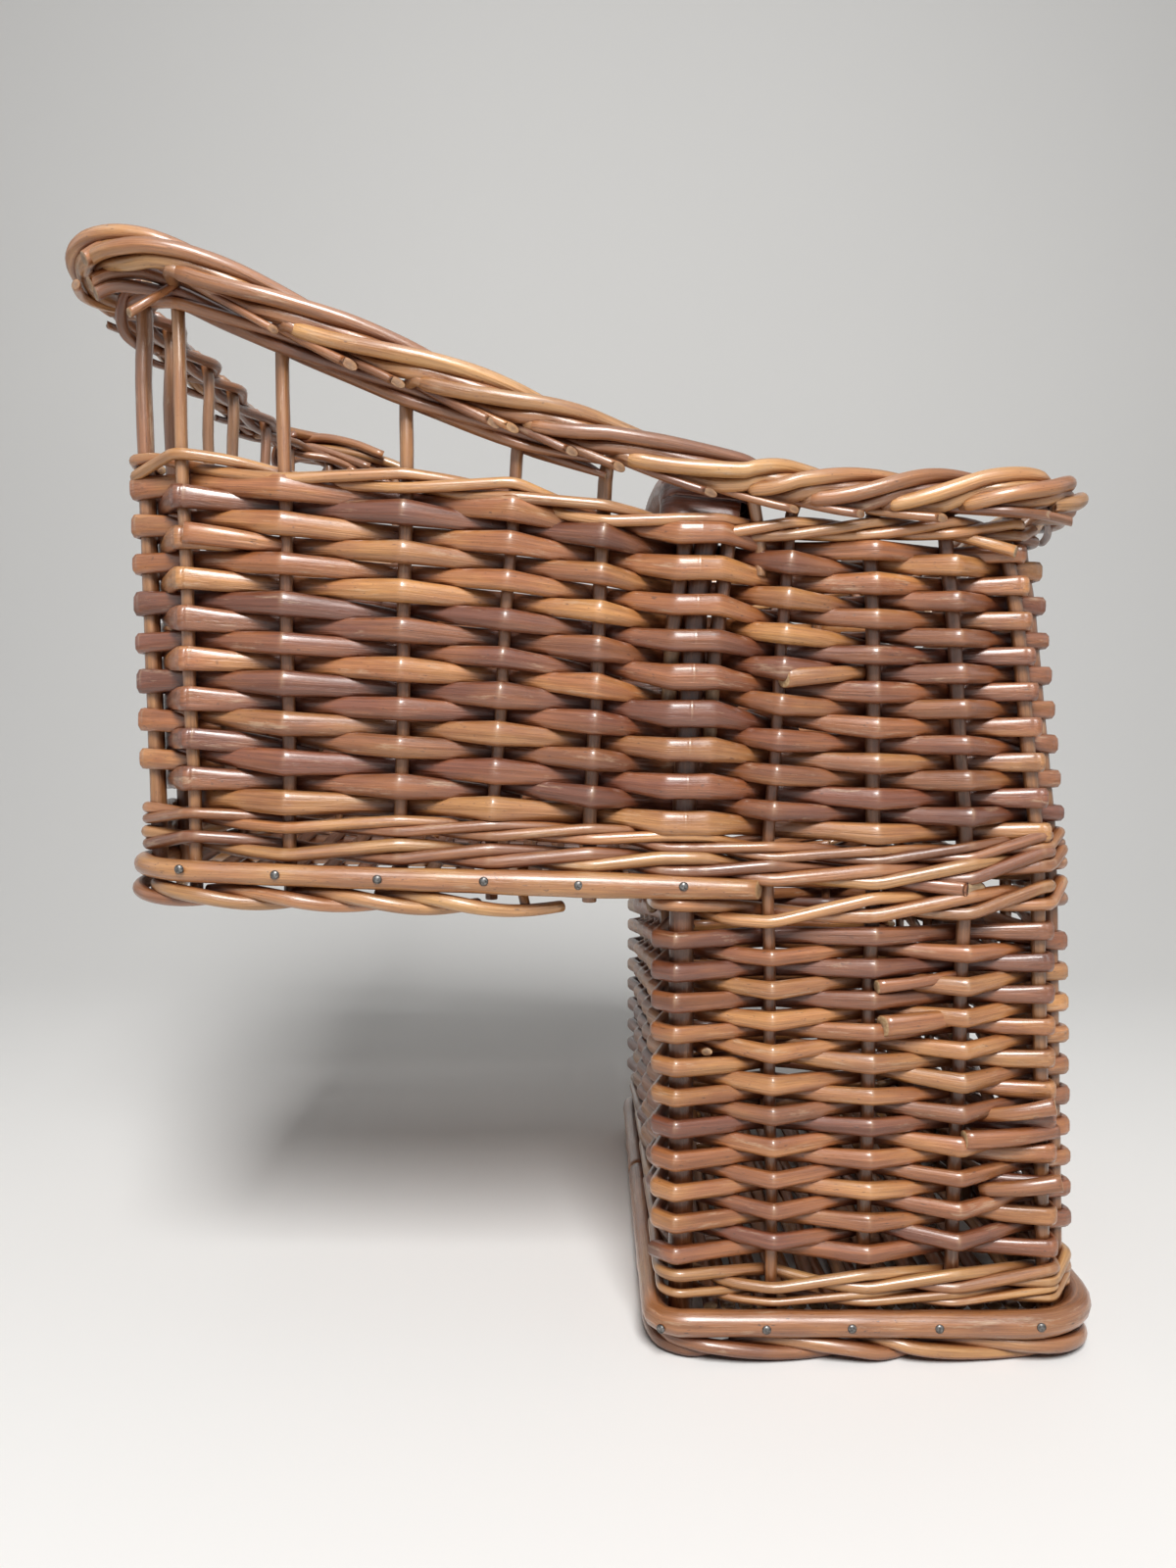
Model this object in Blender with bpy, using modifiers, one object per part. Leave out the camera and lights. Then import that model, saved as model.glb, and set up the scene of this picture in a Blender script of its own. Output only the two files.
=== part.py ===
"""Willow stair basket: a long leg for the lower step, a shelf for the upper one.

Metres, +Z up, +X towards the leg. Every rod is a curve along its real route.
Routes are laid out from the leg's corner rod at X = 0 and the middle plane at Y = 0.
The finished basket is then stood on the origin.
"""

import math

import bmesh
import bpy
from mathutils import Vector
from mathutils.geometry import intersect_point_line

# Clearances
GAP = 0.0003
FLAT_CUT = 0.0009
WRAP_FIT = 0.0015
WRAP_START = 0.0006

# Plan of the stakes' centre lines
SHELF_LENGTH = 0.221
LEG_LENGTH = 0.1635
HALF_WIDTH = 0.138
END_CORNER = 0.026
TOE_CORNER = 0.024
END_LEAN = 0.005
TOE_LEAN_LEG = 0.006
TOE_LEAN_UPPER = 0.015
CORNER_STAKE_ANGLE = math.radians(18)

# Heights above the lower step
WAIST_HEIGHT = 0.210
RIM_LOW = 0.3515
RIM_RISE = 0.091
WEAVE_TOP_LOW = 0.3275
WEAVE_TOP_RISE = 0.032
SHELF_FRAME_HEIGHT = 0.1945
SHELF_FRAME_RISE = 0.0065
LEG_WEAVE_BOTTOM = 0.0375
LEG_WEAVE_TOP = 0.1742

# Rods, by radius
STAKE_RADIUS = 0.00275
BORDER_RADIUS = 0.0034
BOW_RADIUS = 0.0052
LINER_RADIUS = 0.0032
FRAME_RADIUS = 0.0052
FOOT_RADIUS = 0.0023
STICK_RADIUS = 0.0035
TOP_WALE_RADIUS = 0.0019
WAIST_WALE_RADIUS = 0.0017
LEG_TOP_WALE_RADIUS = 0.0020
LEG_BASE_WALE_RADIUS = 0.0023
RIM_WALE_RADIUS = 0.0019

# Weavers: half-round splits, flat inside and ridged outside
UPPER_ROWS = 17
LEG_ROWS = 21
UPPER_WEAVER_HEIGHT = 0.0060
LEG_WEAVER_HEIGHT = 0.0059
WEAVER_THICKNESS = 0.0042
FLOOR_ROWS_SHELF = 27
FLOOR_ROWS_LEG = 19
FLOOR_WEAVER_WIDTH = 0.0062
FLOOR_WEAVER_THICKNESS = 0.0038
FLOOR_MARGIN = 0.0125

# Weavers and wales at the leg's corner rods and along their own routes
LEG_CORNER_SPREAD = math.radians(25)
REACH_PASSES = 14

# Foot borders: two plies twist together
FOOT_OUT = 0.0025
FOOT_CORNER = 0.012
LEG_FOOT_HALF_TWISTS = 23
SHELF_FOOT_TWISTS = 8
STEPS_IN_TWIST = 6
FRAME_STEPS = 6

# Rim border: three rods twist about a line set out from the wall
ROPE_OUT = 0.0098
ROPE_OUT_RISE = 0.0025
ROPE_TURN_RADIUS = 0.0044
ROPE_TURN_RISE = 0.0012
ROPE_STEPS = 3
ROPE_LAY = 3
STAKE_NECK = 0.0012
NECK_RUN = 0.0050

# Handle
HANDLE_BEND_RADIUS = 0.020
HANDLE_BEND_HEIGHT = 0.3450
HANDLE_ARCH_RISE = 0.012
HANDLE_ARCH_STEPS = 5
HANDLE_BEND_STEPS = 6
LINER_LENGTH_LEFT = 0.078
LINER_LENGTH_RIGHT = 0.094
SLYPE_LENGTH = 0.018
WRAP_HALF_WIDTH = 0.0172
WRAP_WALL = 0.0016
WRAP_TURNS = 13

# Stake places along the walls, as shares of the wall that they stand in
near_shelf_waist_shares = (0.724, 0.520, 0.353, 0.172)
near_shelf_rim_shares = (0.729, 0.502, 0.299, 0.140)
near_leg_base_shares = (0.232, 0.459, 0.679)
near_leg_waist_shares = (0.214, 0.477, 0.709)
near_leg_rim_shares = (0.269, 0.465, 0.645)
bow_rim_share = 0.049
border_rod_rim_share = 0.086
border_rod_foot_share = 0.141
end_stake_shares = (0.50, 0.05, -0.24, -0.62)
toe_stake_shares = (-0.47, 0.0, 0.47)
riser_stake_shares = (0.57, 0.19, -0.19, -0.57)
stick_shares_shelf = (-0.5, 0.0, 0.5)
stick_shares_leg = (toe_stake_shares[0], toe_stake_shares[2])
shelf_foot_end_share = 0.185
frame_end_share = 0.17
slype_tip_share = 0.3
rim_wale_swing_share = 1.36
border_rise_share = 0.22
wale_flat_share = 0.8
wrap_rib_share = 0.95

COLOURS = {
    "stake": (0.42, 0.20, 0.075),
    "weaver": (0.30, 0.115, 0.045),
    "wale": (0.45, 0.22, 0.085),
    "border": (0.50, 0.26, 0.10),
    "frame": (0.40, 0.17, 0.06),
    "handle": (0.16, 0.045, 0.02),
}
ROUGHNESS = 0.35


def lerp(a, b, share):
    return a + (b - a) * share


class Ring:
    """A rounded rectangle in plan, run anticlockwise from the near wall's left end."""

    def __init__(self, left, right, half, left_corner, right_corner):
        self.left = left
        self.right = right
        self.half = half
        self.radii = (left_corner, right_corner)
        quarter = math.pi / 2
        near = right - left - left_corner - right_corner
        toe = 2 * (half - right_corner)
        end = 2 * (half - left_corner)
        self.lengths = (
            near,
            quarter * right_corner,
            toe,
            quarter * right_corner,
            near,
            quarter * left_corner,
            end,
            quarter * left_corner,
        )
        self.total = sum(self.lengths)

    def at(self, run, out=0.0):
        """Plan point at this run along the ring, moved outwards, and the outward normal."""
        run = run % self.total
        part = 0
        while part < 7 and run > self.lengths[part]:
            run -= self.lengths[part]
            part += 1
        left_corner, right_corner = self.radii
        inner_left = self.left + left_corner
        inner_right = self.right - right_corner
        if part == 0:
            point, normal = Vector((inner_left + run, -self.half)), Vector((0, -1))
        elif part == 1:
            point, normal = self.corner(inner_right, -1, right_corner, run, -0.25)
        elif part == 2:
            point = Vector((self.right, right_corner - self.half + run))
            normal = Vector((1, 0))
        elif part == 3:
            point, normal = self.corner(inner_right, 1, right_corner, run, 0.0)
        elif part == 4:
            point, normal = Vector((inner_right - run, self.half)), Vector((0, 1))
        elif part == 5:
            point, normal = self.corner(inner_left, 1, left_corner, run, 0.25)
        elif part == 6:
            point = Vector((self.left, self.half - left_corner - run))
            normal = Vector((-1, 0))
        else:
            point, normal = self.corner(inner_left, -1, left_corner, run, 0.5)
        return point + normal * out, normal

    def corner(self, centre_x, side, radius, run, start_turn):
        angle = 2 * math.pi * start_turn + run / radius
        normal = Vector((math.cos(angle), math.sin(angle)))
        centre = Vector((centre_x, side * (self.half - radius)))
        return centre + normal * radius, normal

    def run_of(self, part, value):
        """Run of a place: value is x on the long walls, y on the short ones, an angle in corners."""
        before = sum(self.lengths[:part])
        left_corner, right_corner = self.radii
        if part == 0:
            return before + value - self.left - left_corner
        if part == 4:
            return before + self.right - right_corner - value
        if part == 2:
            return before + value + self.half - right_corner
        if part == 6:
            return before + self.half - left_corner - value
        return before + value * self.radii[0 if part in (5, 7) else 1]


def upper_ring(level):
    """The stakes' ring at the base (0), the waist (1) or the rim (2)."""
    left = -SHELF_LENGTH - (END_LEAN if level == 2 else 0)
    right = LEG_LENGTH
    if level > 0:
        right -= TOE_LEAN_LEG
    if level > 1:
        right -= TOE_LEAN_UPPER
    return Ring(left, right, HALF_WIDTH, END_CORNER, TOE_CORNER)


RINGS = (upper_ring(0), upper_ring(1), upper_ring(2))
BOW_Y = HALF_WIDTH + STAKE_RADIUS - BOW_RADIUS
LINER_Y = HALF_WIDTH + STAKE_RADIUS - LINER_RADIUS
RISER_X = STAKE_RADIUS - BOW_RADIUS
LINER_SPREAD = BOW_RADIUS + LINER_RADIUS + GAP


def rise_share(x):
    """How far up the rim has swept, from 0 over the leg to 1 at the shelf's end."""
    flat_x = LEG_LENGTH / 2
    span = flat_x + SHELF_LENGTH
    share = min(1.0, max(0.0, (flat_x - x) / span))
    return (2 - share) * share * share


def rope_height(x):
    return RIM_LOW + RIM_RISE * rise_share(x)


def weave_top(x):
    flat_x = LEG_LENGTH / 2
    share = min(1.0, max(0.0, (flat_x - x) / (flat_x + SHELF_LENGTH)))
    return WEAVE_TOP_LOW + WEAVE_TOP_RISE * (3 - 2 * share) * share * share


def shelf_line(x):
    """Height of the shelf's frame rod, which rises a little towards the end."""
    return SHELF_FRAME_HEIGHT - SHELF_FRAME_RISE * x / SHELF_LENGTH


class Station:
    """One stake, or one bow, that the weavers pass in front of or behind."""

    def __init__(self, name, kind, plan, normal):
        self.name = name
        self.kind = kind
        self.plan = plan
        self.normal = normal
        self.top = rope_height(plan[2].x)

    def at(self, height):
        base, waist, rim = self.plan
        if height < WAIST_HEIGHT:
            point = base.lerp(waist, height / WAIST_HEIGHT)
        else:
            share = (height - WAIST_HEIGHT) / (self.top - WAIST_HEIGHT)
            point = waist.lerp(rim, share)
        return Vector((point.x, point.y, height))

    def offset(self, height, out):
        point = self.at(height)
        return point + Vector((self.normal.x, self.normal.y, 0)) * out


def station(name, kind, part, values):
    """A station on one part of the ring, from its value at the base, waist and rim."""
    plan = []
    for ring, value in zip(RINGS, values):
        point, normal = ring.at(ring.run_of(part, value))
        plan.append(point)
    return Station(name, kind, tuple(plan), normal)


def corner_pair(first_name, second_name, part):
    first = CORNER_STAKE_ANGLE
    second = math.pi / 2 - CORNER_STAKE_ANGLE
    return [
        station(first_name, "corner", part, (first,) * 3),
        station(second_name, "corner", part, (second,) * 3),
    ]


def long_wall(side, part):
    """Stations of one long wall between its corners, in the near wall's order."""
    found = []
    shelf = zip(near_shelf_waist_shares, near_shelf_rim_shares)
    for number, (waist, rim) in enumerate(shelf, 2):
        values = (-waist * SHELF_LENGTH, -waist * SHELF_LENGTH, -rim * SHELF_LENGTH)
        found.append(station(f"{side}_stake_{number}", "wall", part, values))
    bow_rim = bow_rim_share * LEG_LENGTH
    found.append(station(f"{side}_bow", "bow", part, (0.0, 0.0, bow_rim)))
    leg = zip(near_leg_base_shares, near_leg_waist_shares, near_leg_rim_shares)
    for number, shares in enumerate(leg, 6):
        values = tuple(share * LEG_LENGTH for share in shares)
        found.append(station(f"{side}_stake_{number}", "wall", part, values))
    return found


def short_wall(name, part, shares, first):
    found = []
    for number, share in enumerate(shares, first):
        value = share * HALF_WIDTH
        found.append(station(f"{name}_{number}", "wall", part, (value,) * 3))
    return found


def upper_stations():
    near_left = corner_pair("end_stake_6", "near_stake_1", 7)
    near_right = corner_pair("near_stake_9", "toe_stake_1", 1)
    far_right = corner_pair("toe_stake_5", "far_stake_9", 3)
    far_left = corner_pair("far_stake_1", "end_stake_1", 5)
    toe = short_wall("toe_stake", 2, toe_stake_shares, 2)
    end = short_wall("end_stake", 6, end_stake_shares, 2)
    near = long_wall("near", 0)
    far = long_wall("far", 4)
    return (
        [near_left[1]]
        + near
        + near_right
        + toe
        + far_right
        + far[::-1]
        + far_left
        + end
        + [near_left[0]]
    )


UPPER = upper_stations()


def leg_stations():
    """The leg's ring: its corner rods are the bows, and four riser stakes close it."""
    names = [place.name for place in UPPER]
    first = names.index("near_bow")
    last = names.index("far_bow")
    found = [leg_corner("near_corner", -1)]
    found += UPPER[first + 1 : last]
    found.append(leg_corner("far_corner", 1))
    for number, share in enumerate(riser_stake_shares, 1):
        point = Vector((RISER_X, share * HALF_WIDTH))
        name = f"riser_stake_{number}"
        found.append(Station(name, "wall", (point,) * 3, Vector((-1, 0))))
    return found


def leg_corner(name, side):
    point = Vector((0, side * BOW_Y))
    normal = Vector((-1, side)).normalized()
    return Station(name, "leg_corner", (point,) * 3, normal)


LEG = leg_stations()


def crossing(place, height, side, reach):
    """Points at which a rod crosses a station, on the outside (1) or the inside (-1)."""
    if place.kind == "bow":
        return bow_crossing(place, height, side * reach)
    if place.kind == "leg_corner" and side > 0:
        return leg_corner_turn(place, height, reach)
    return [place.offset(height, side * reach)]


def bow_crossing(place, height, out):
    """The bow and its two liner rods are crossed as one flat bundle."""
    middle = place.at(height)
    direction = 1 if place.normal.y < 0 else -1
    points = []
    for step in (-1, 1):
        along = Vector((direction * step * LINER_SPREAD, place.normal.y * out, 0))
        points.append(middle + along)
    return points


def leg_corner_turn(place, height, reach):
    """A rod that passes outside a corner rod bends round it in two points."""
    middle = place.at(height)
    base_angle = math.atan2(place.normal.y, place.normal.x)
    points = []
    for step in (-1, 1):
        angle = base_angle + step * LEG_CORNER_SPREAD
        points.append(middle + Vector((math.cos(angle), math.sin(angle), 0)) * reach)
    return points


def sections(place, height):
    """The round sections that a crossing rod has to clear, each with its radius."""
    middle = place.at(height)
    if place.kind == "leg_corner":
        return [(middle, BOW_RADIUS)]
    if place.kind != "bow":
        return [(middle, STAKE_RADIUS)]
    side = place.normal.y
    found = [(Vector((middle.x, side * BOW_Y, height)), BOW_RADIUS)]
    for step in (-1, 1):
        point = Vector((middle.x + step * LINER_SPREAD, side * LINER_Y, height))
        found.append((point, LINER_RADIUS))
    return found


def shortfall(trio, side, height, reach, clear):
    """How much too close a rod comes to the middle one of three stations in a row."""
    before, place, after = trio
    path = crossing(before, height, -side, reach[before.name, -side])[-1:]
    path += crossing(place, height, side, reach[place.name, side])
    path += crossing(after, height, -side, reach[after.name, -side])[:1]
    short = 0
    for middle, radius in sections(place, height):
        for a, b in zip(path, path[1:]):
            nearest, share = intersect_point_line(middle, a, b)
            nearest = a.lerp(b, min(1, max(0, share)))
            short = max(short, radius + clear - (middle - nearest).length)
    return short


def reaches(stations, half_thickness, heights):
    """How far a rod is led out and in at each station so that it clears what it crosses."""
    clear = half_thickness + GAP
    trios = list(zip(stations[-1:] + stations[:-1], stations, stations[1:] + stations[:1]))
    reach = {}
    for place in stations:
        reach[place.name, 1] = reach[place.name, -1] = STAKE_RADIUS + clear
    for _ in range(REACH_PASSES):
        for trio in trios:
            for side in (1, -1):
                for height in heights:
                    short = shortfall(trio, side, height, reach, clear)
                    reach[trio[1].name, side] += short
    return reach


def weave_route(stations, rows, bottom, top):
    """One weaver spirals round an odd number of stations, so its rows alternate."""
    count = len(stations)
    reach = reaches(stations, WEAVER_THICKNESS / 2, (bottom(0), top(0)))
    points = []
    for step in range(count * rows):
        place = stations[step % count]
        level = step / count
        x = place.plan[1].x
        height = lerp(bottom(x), top(x), (level + 0.5) / (rows + 1))
        side = 1 if step % 2 == 0 else -1
        points += crossing(place, height, side, reach[place.name, side])
    return points


def wale_route(stations, radius, middle, rounds=1):
    """A wale of three rods as one spiral: in front of two stations, behind the next."""
    count = len(stations)
    swing = 2 * radius + GAP
    round_height = 2 * swing + 2 * radius + GAP
    points = []
    reach = reaches(stations, wale_flat_share * radius, (middle(0),))
    for step in range(3 * rounds * count):
        place = stations[step % count]
        turn = step // count
        phase = step % 3
        height = middle(place.plan[1].x) + (turn // 3) * round_height
        side = -1 if phase == 2 else 1
        height += (swing, -swing, 0.0)[phase]
        points += crossing(place, height, side, reach[place.name, side])
    return points


def wale_band(radius, rounds):
    """Height of a wale of this many rounds."""
    return rounds * (6 * radius + 2 * GAP) + (rounds - 1) * GAP


def rod(name, points, radius, sides, collection, material, shares=None, cyclic=False):
    """A round rod along a route, with 4, 6 or 8 sides."""
    curve = bpy.data.curves.new(name, "CURVE")
    curve.dimensions = "3D"
    curve.bevel_depth = radius
    curve.bevel_resolution = sides // 2 - 2
    curve.use_fill_caps = True
    fill_spline(curve, points, cyclic, shares)
    return add_object(name, curve, collection, material)


def square_rod(name, points, radius, collection, material):
    """A four-sided rod that runs level, with its flats up, down, in and out."""
    depth = wale_flat_share * radius / math.cos(math.pi / 4)
    item = rod(name, points, depth, 4, collection, material)
    item.data.twist_mode = "Z_UP"
    for point in item.data.splines[0].points:
        point.tilt = math.pi / 4
    return item


def fill_spline(curve, points, cyclic, shares=None):
    """One straight-segment spline; shares are each point's part of the full radius."""
    spline = curve.splines.new("POLY")
    spline.points.add(len(points) - 1)
    for target, point in zip(spline.points, points):
        target.co = (point.x, point.y, point.z, 1)
    for target, share in zip(spline.points, shares or ()):
        target.radius = share
    spline.use_cyclic_u = cyclic
    spline.use_smooth = True


def split(name, points, profile, collection, material):
    """A half-round split: its flat side faces in and its ridge faces out."""
    curve = bpy.data.curves.new(name, "CURVE")
    curve.dimensions = "3D"
    curve.bevel_mode = "OBJECT"
    curve.bevel_object = profile
    curve.twist_mode = "Z_UP"
    curve.use_fill_caps = True
    fill_spline(curve, points, False)
    return add_object(name, curve, collection, material)


def split_profile(name, height, thickness, guides):
    """Section of a split, as a closed outline: flat inside, one ridge outside."""
    curve = bpy.data.curves.new(name, "CURVE")
    curve.dimensions = "2D"
    half = thickness / 2
    low, high = Vector((half, -height / 2, 0)), Vector((half, height / 2, 0))
    outline = [low, Vector((-half, 0, 0)), high]
    fill_spline(curve, outline, True)
    return add_guide(name, curve, guides)


def add_guide(name, data, guides):
    guide = bpy.data.objects.new(name, data)
    guide.hide_render = True
    guide.display_type = "WIRE"
    guides.objects.link(guide)
    return guide


def add_object(name, data, collection, material):
    data.materials.append(material)
    item = bpy.data.objects.new(name, data)
    collection.objects.link(item)
    return item


def make_material(name):
    material = bpy.data.materials.new(f"willow_{name}")
    material.use_nodes = True
    shader = material.node_tree.nodes["Principled BSDF"]
    shader.inputs["Base Color"].default_value = (*COLOURS[name], 1)
    shader.inputs["Roughness"].default_value = ROUGHNESS
    material.diffuse_color = (*COLOURS[name], 1)
    return material


def rope_ring():
    return RINGS[2]


def rope_point(run, phase):
    """A point of a border rod: it circles the rope's line, which runs outside the rim."""
    ring = rope_ring()
    axis, normal = ring.at(run)
    share = rise_share(axis.x)
    out = ROPE_OUT + ROPE_OUT_RISE * share
    turn = ROPE_TURN_RADIUS + ROPE_TURN_RISE * share
    out += turn * math.cos(phase)
    height = rope_height(axis.x) + turn * math.sin(phase)
    flat = axis + normal * out
    return Vector((flat.x, flat.y, height))


def rope_runs():
    """Run of each border rod's start, one for every station of the rim."""
    ring = rope_ring()
    runs = []
    for place in UPPER:
        point = place.plan[2]
        if place.kind == "bow":
            x = point.x - place.normal.y * border_rod_rim_share * LEG_LENGTH
            runs.append(ring.run_of(0 if point.y < 0 else 4, x))
        elif place.normal.y == -1:
            runs.append(ring.run_of(0, point.x))
        elif place.normal.x == 1:
            runs.append(ring.run_of(2, point.y))
        elif place.normal.y == 1:
            runs.append(ring.run_of(4, point.x))
        elif place.normal.x == -1:
            runs.append(ring.run_of(6, point.y))
        else:
            runs.append(ring.run_of(*corner_place(place)))
    return runs


def corner_place(place):
    angle = math.atan2(place.normal.y, place.normal.x) % (2 * math.pi)
    quarter = math.pi / 2
    number = int(angle // quarter)
    return {0: 3, 1: 5, 2: 7, 3: 1}[number], angle - number * quarter


ROPE_RUNS = rope_runs()


def run_after(index, spacings):
    """Run at this many station spacings after a border rod's start."""
    count = len(ROPE_RUNS)
    whole = int(spacings)
    a = ROPE_RUNS[(index + whole) % count]
    b = ROPE_RUNS[(index + whole + 1) % count]
    total = rope_ring().total
    return a + ((b - a) % total) * (spacings - whole)


def border_tail(index):
    """A stake's top in the border: under, inside, over and outside, to its cut tip."""
    points = []
    steps = ROPE_LAY * ROPE_STEPS
    for step in range(1, steps):
        spacings = step / ROPE_STEPS
        phase = -math.pi / 2 - 2 * math.pi * step / steps
        points.append(rope_point(run_after(index, spacings), phase))
    return points


def neck_point(index):
    """Where a stake turns out under the rope before it runs along it."""
    run = ROPE_RUNS[index] + NECK_RUN
    return rope_point(run, -math.pi / 2)


def border_radius(x):
    """The border rods are thicker where the rim has swept up."""
    return BORDER_RADIUS * (1 + border_rise_share * rise_share(x))


def neck_height(place):
    x = place.plan[2].x
    turn = ROPE_TURN_RADIUS + ROPE_TURN_RISE * rise_share(x)
    return place.top - turn - border_radius(x) - STAKE_NECK


def stake_route(index, foot):
    place = UPPER[index]
    points = [place.at(foot)]
    if foot < WAIST_HEIGHT:
        points.append(place.at(WAIST_HEIGHT))
    points.append(place.at(neck_height(place)))
    points.append(neck_point(index))
    return points + border_tail(index)


def border_rod_route(index):
    """Beside each bow a short rod stands on the top wale and runs into the border."""
    place = UPPER[index]
    x = place.plan[2].x - place.normal.y * border_rod_foot_share * LEG_LENGTH
    foot = top_wale_middle(x) + wale_band(TOP_WALE_RADIUS, 1) / 2 + GAP
    y = place.normal.y * HALF_WIDTH
    head = Vector((x, y, foot + STAKE_RADIUS))
    return [Vector((x, y, foot)), head] + border_tail(index)[1:]


def top_wale_middle(x):
    return weave_top(x) + wale_band(TOP_WALE_RADIUS, 1) / 2 + GAP


def waist_wale_middle(x):
    base = shelf_line(x) + FRAME_RADIUS + 2 * GAP
    return base + wale_band(WAIST_WALE_RADIUS, 1) / 2


def upper_weave_bottom(x):
    foot = waist_wale_middle(x) - wale_band(WAIST_WALE_RADIUS, 1) / 2
    return foot + wale_band(WAIST_WALE_RADIUS, 2)


def foot_turn():
    """Radius at which the plies of a foot border circle, so that their chords clear."""
    return (FOOT_RADIUS + GAP) / math.cos(math.pi / STEPS_IN_TWIST)


def foot_rope_height():
    return 2 * (foot_turn() + FOOT_RADIUS) - FLAT_CUT


def leg_foot():
    return foot_rope_height() + GAP


def leg_frame_height():
    return foot_rope_height() + GAP + FRAME_RADIUS


def leg_weave_bottom(x):
    return LEG_WEAVE_BOTTOM


def leg_weave_top(x):
    return LEG_WEAVE_TOP


def leg_base_wale_middle(x):
    return LEG_WEAVE_BOTTOM - wale_band(LEG_BASE_WALE_RADIUS, 1) / 2 - GAP


def leg_top_wale_middle(x):
    return LEG_WEAVE_TOP + wale_band(LEG_TOP_WALE_RADIUS, 1) / 2 + GAP


def shelf_foot(x):
    """Where the shelf's stakes end, on their foot border."""
    return shelf_line(x) - FRAME_RADIUS


def tail_shares(route, plain):
    """A stake thickens to the border rods' size once it has left the wall."""
    return [1] * plain + [border_radius(point.x) / STAKE_RADIUS for point in route[plain:]]


def make_stakes(parts, materials):
    for index, place in enumerate(UPPER):
        if place.kind == "bow":
            side = place.name.split("_")[0]
            name, look = f"{side}_border_rod", materials["border"]
            route, plain = border_rod_route(index), 2
        else:
            name, look = place.name, materials["stake"]
            foot = leg_foot() if place in LEG else shelf_foot(place.plan[0].x)
            route = stake_route(index, foot)
            plain = 3
        shares = tail_shares(route, plain)
        rod(name, route, STAKE_RADIUS, 4, parts, look, shares)


def make_riser_stakes(parts, materials):
    for place in LEG:
        if not place.name.startswith("riser"):
            continue
        top = shelf_line(0) - FRAME_RADIUS - GAP
        route = [place.at(leg_foot()), place.at(top)]
        rod(place.name, route, STAKE_RADIUS, 6, parts, materials["stake"])


def make_weaves(parts, guides, materials):
    upper = split_profile("upper_split", UPPER_WEAVER_HEIGHT, WEAVER_THICKNESS, guides)
    route = weave_route(UPPER, UPPER_ROWS, upper_weave_bottom, weave_top)
    split("upper_weave", route, upper, parts, materials["weaver"])
    leg = split_profile("leg_split", LEG_WEAVER_HEIGHT, WEAVER_THICKNESS, guides)
    route = weave_route(LEG, LEG_ROWS, leg_weave_bottom, leg_weave_top)
    split("leg_weave", route, leg, parts, materials["weaver"])


def make_wales(parts, materials):
    wales = (
        ("top_wale", UPPER, TOP_WALE_RADIUS, top_wale_middle, 1),
        ("waist_wale", UPPER, WAIST_WALE_RADIUS, waist_wale_middle, 2),
        ("leg_top_wale", LEG, LEG_TOP_WALE_RADIUS, leg_top_wale_middle, 1),
        ("leg_base_wale", LEG, LEG_BASE_WALE_RADIUS, leg_base_wale_middle, 1),
    )
    for name, stations, radius, middle, rounds in wales:
        route = wale_route(stations, radius, middle, rounds)
        square_rod(name, route, radius, parts, materials["wale"])


def rim_wale_stations():
    """The stations that the rim wale binds: from the shelf's last near stake round its end."""
    names = [place.name for place in UPPER]
    near = names.index("near_stake_4")
    far = names.index("far_stake_4")
    return (UPPER[far:] + UPPER[: near + 1])[::-1]


def make_rim_wale(parts, materials):
    """Three rods bind the stakes under the border, each in front of two and behind one."""
    stations = rim_wale_stations()
    swing = rim_wale_swing_share * (2 * RIM_WALE_RADIUS + GAP)
    thickness = wale_flat_share * RIM_WALE_RADIUS
    reach = reaches(UPPER, thickness, (RIM_LOW, RIM_LOW + RIM_RISE))
    for start in range(3):
        points = []
        for index, place in enumerate(stations):
            phase = (index + start) % 3
            side = -1 if phase == 2 else 1
            height = neck_height(place) - STAKE_RADIUS - RIM_WALE_RADIUS - swing
            height += (swing, -swing, 0.0)[phase]
            points += crossing(place, height, side, reach[place.name, side])
        name = f"rim_wale_{start + 1}"
        square_rod(name, points, RIM_WALE_RADIUS, parts, materials["wale"])


def handle_half(y, flat_x):
    """Half of a handle rod's route above its bend, from the near side to the middle."""
    radius = HANDLE_BEND_RADIUS + y - BOW_Y
    centre_y = radius - y
    slope = math.atan(2 * HANDLE_ARCH_RISE / -centre_y)
    points = []
    for step in range(HANDLE_BEND_STEPS + 1):
        angle = (math.pi / 2 - slope) * step / HANDLE_BEND_STEPS
        across = centre_y - radius * math.cos(angle)
        height = HANDLE_BEND_HEIGHT + radius * math.sin(angle)
        points.append(Vector((flat_x, across, height)))
    start = points[-1]
    for step in range(1, HANDLE_ARCH_STEPS + 1):
        share = step / HANDLE_ARCH_STEPS
        rise = HANDLE_ARCH_RISE * share * (2 - share)
        points.append(Vector((flat_x, start.y * (1 - share), start.z + rise)))
    return points


def both_halves(half):
    """The near half of a route and its mirror image on the far side."""
    mirrored = [Vector((point.x, -point.y, point.z)) for point in reversed(half)]
    return half + mirrored[1:]


def handle_x(height):
    names = [place.name for place in UPPER]
    return UPPER[names.index("near_bow")].at(height).x


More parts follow.
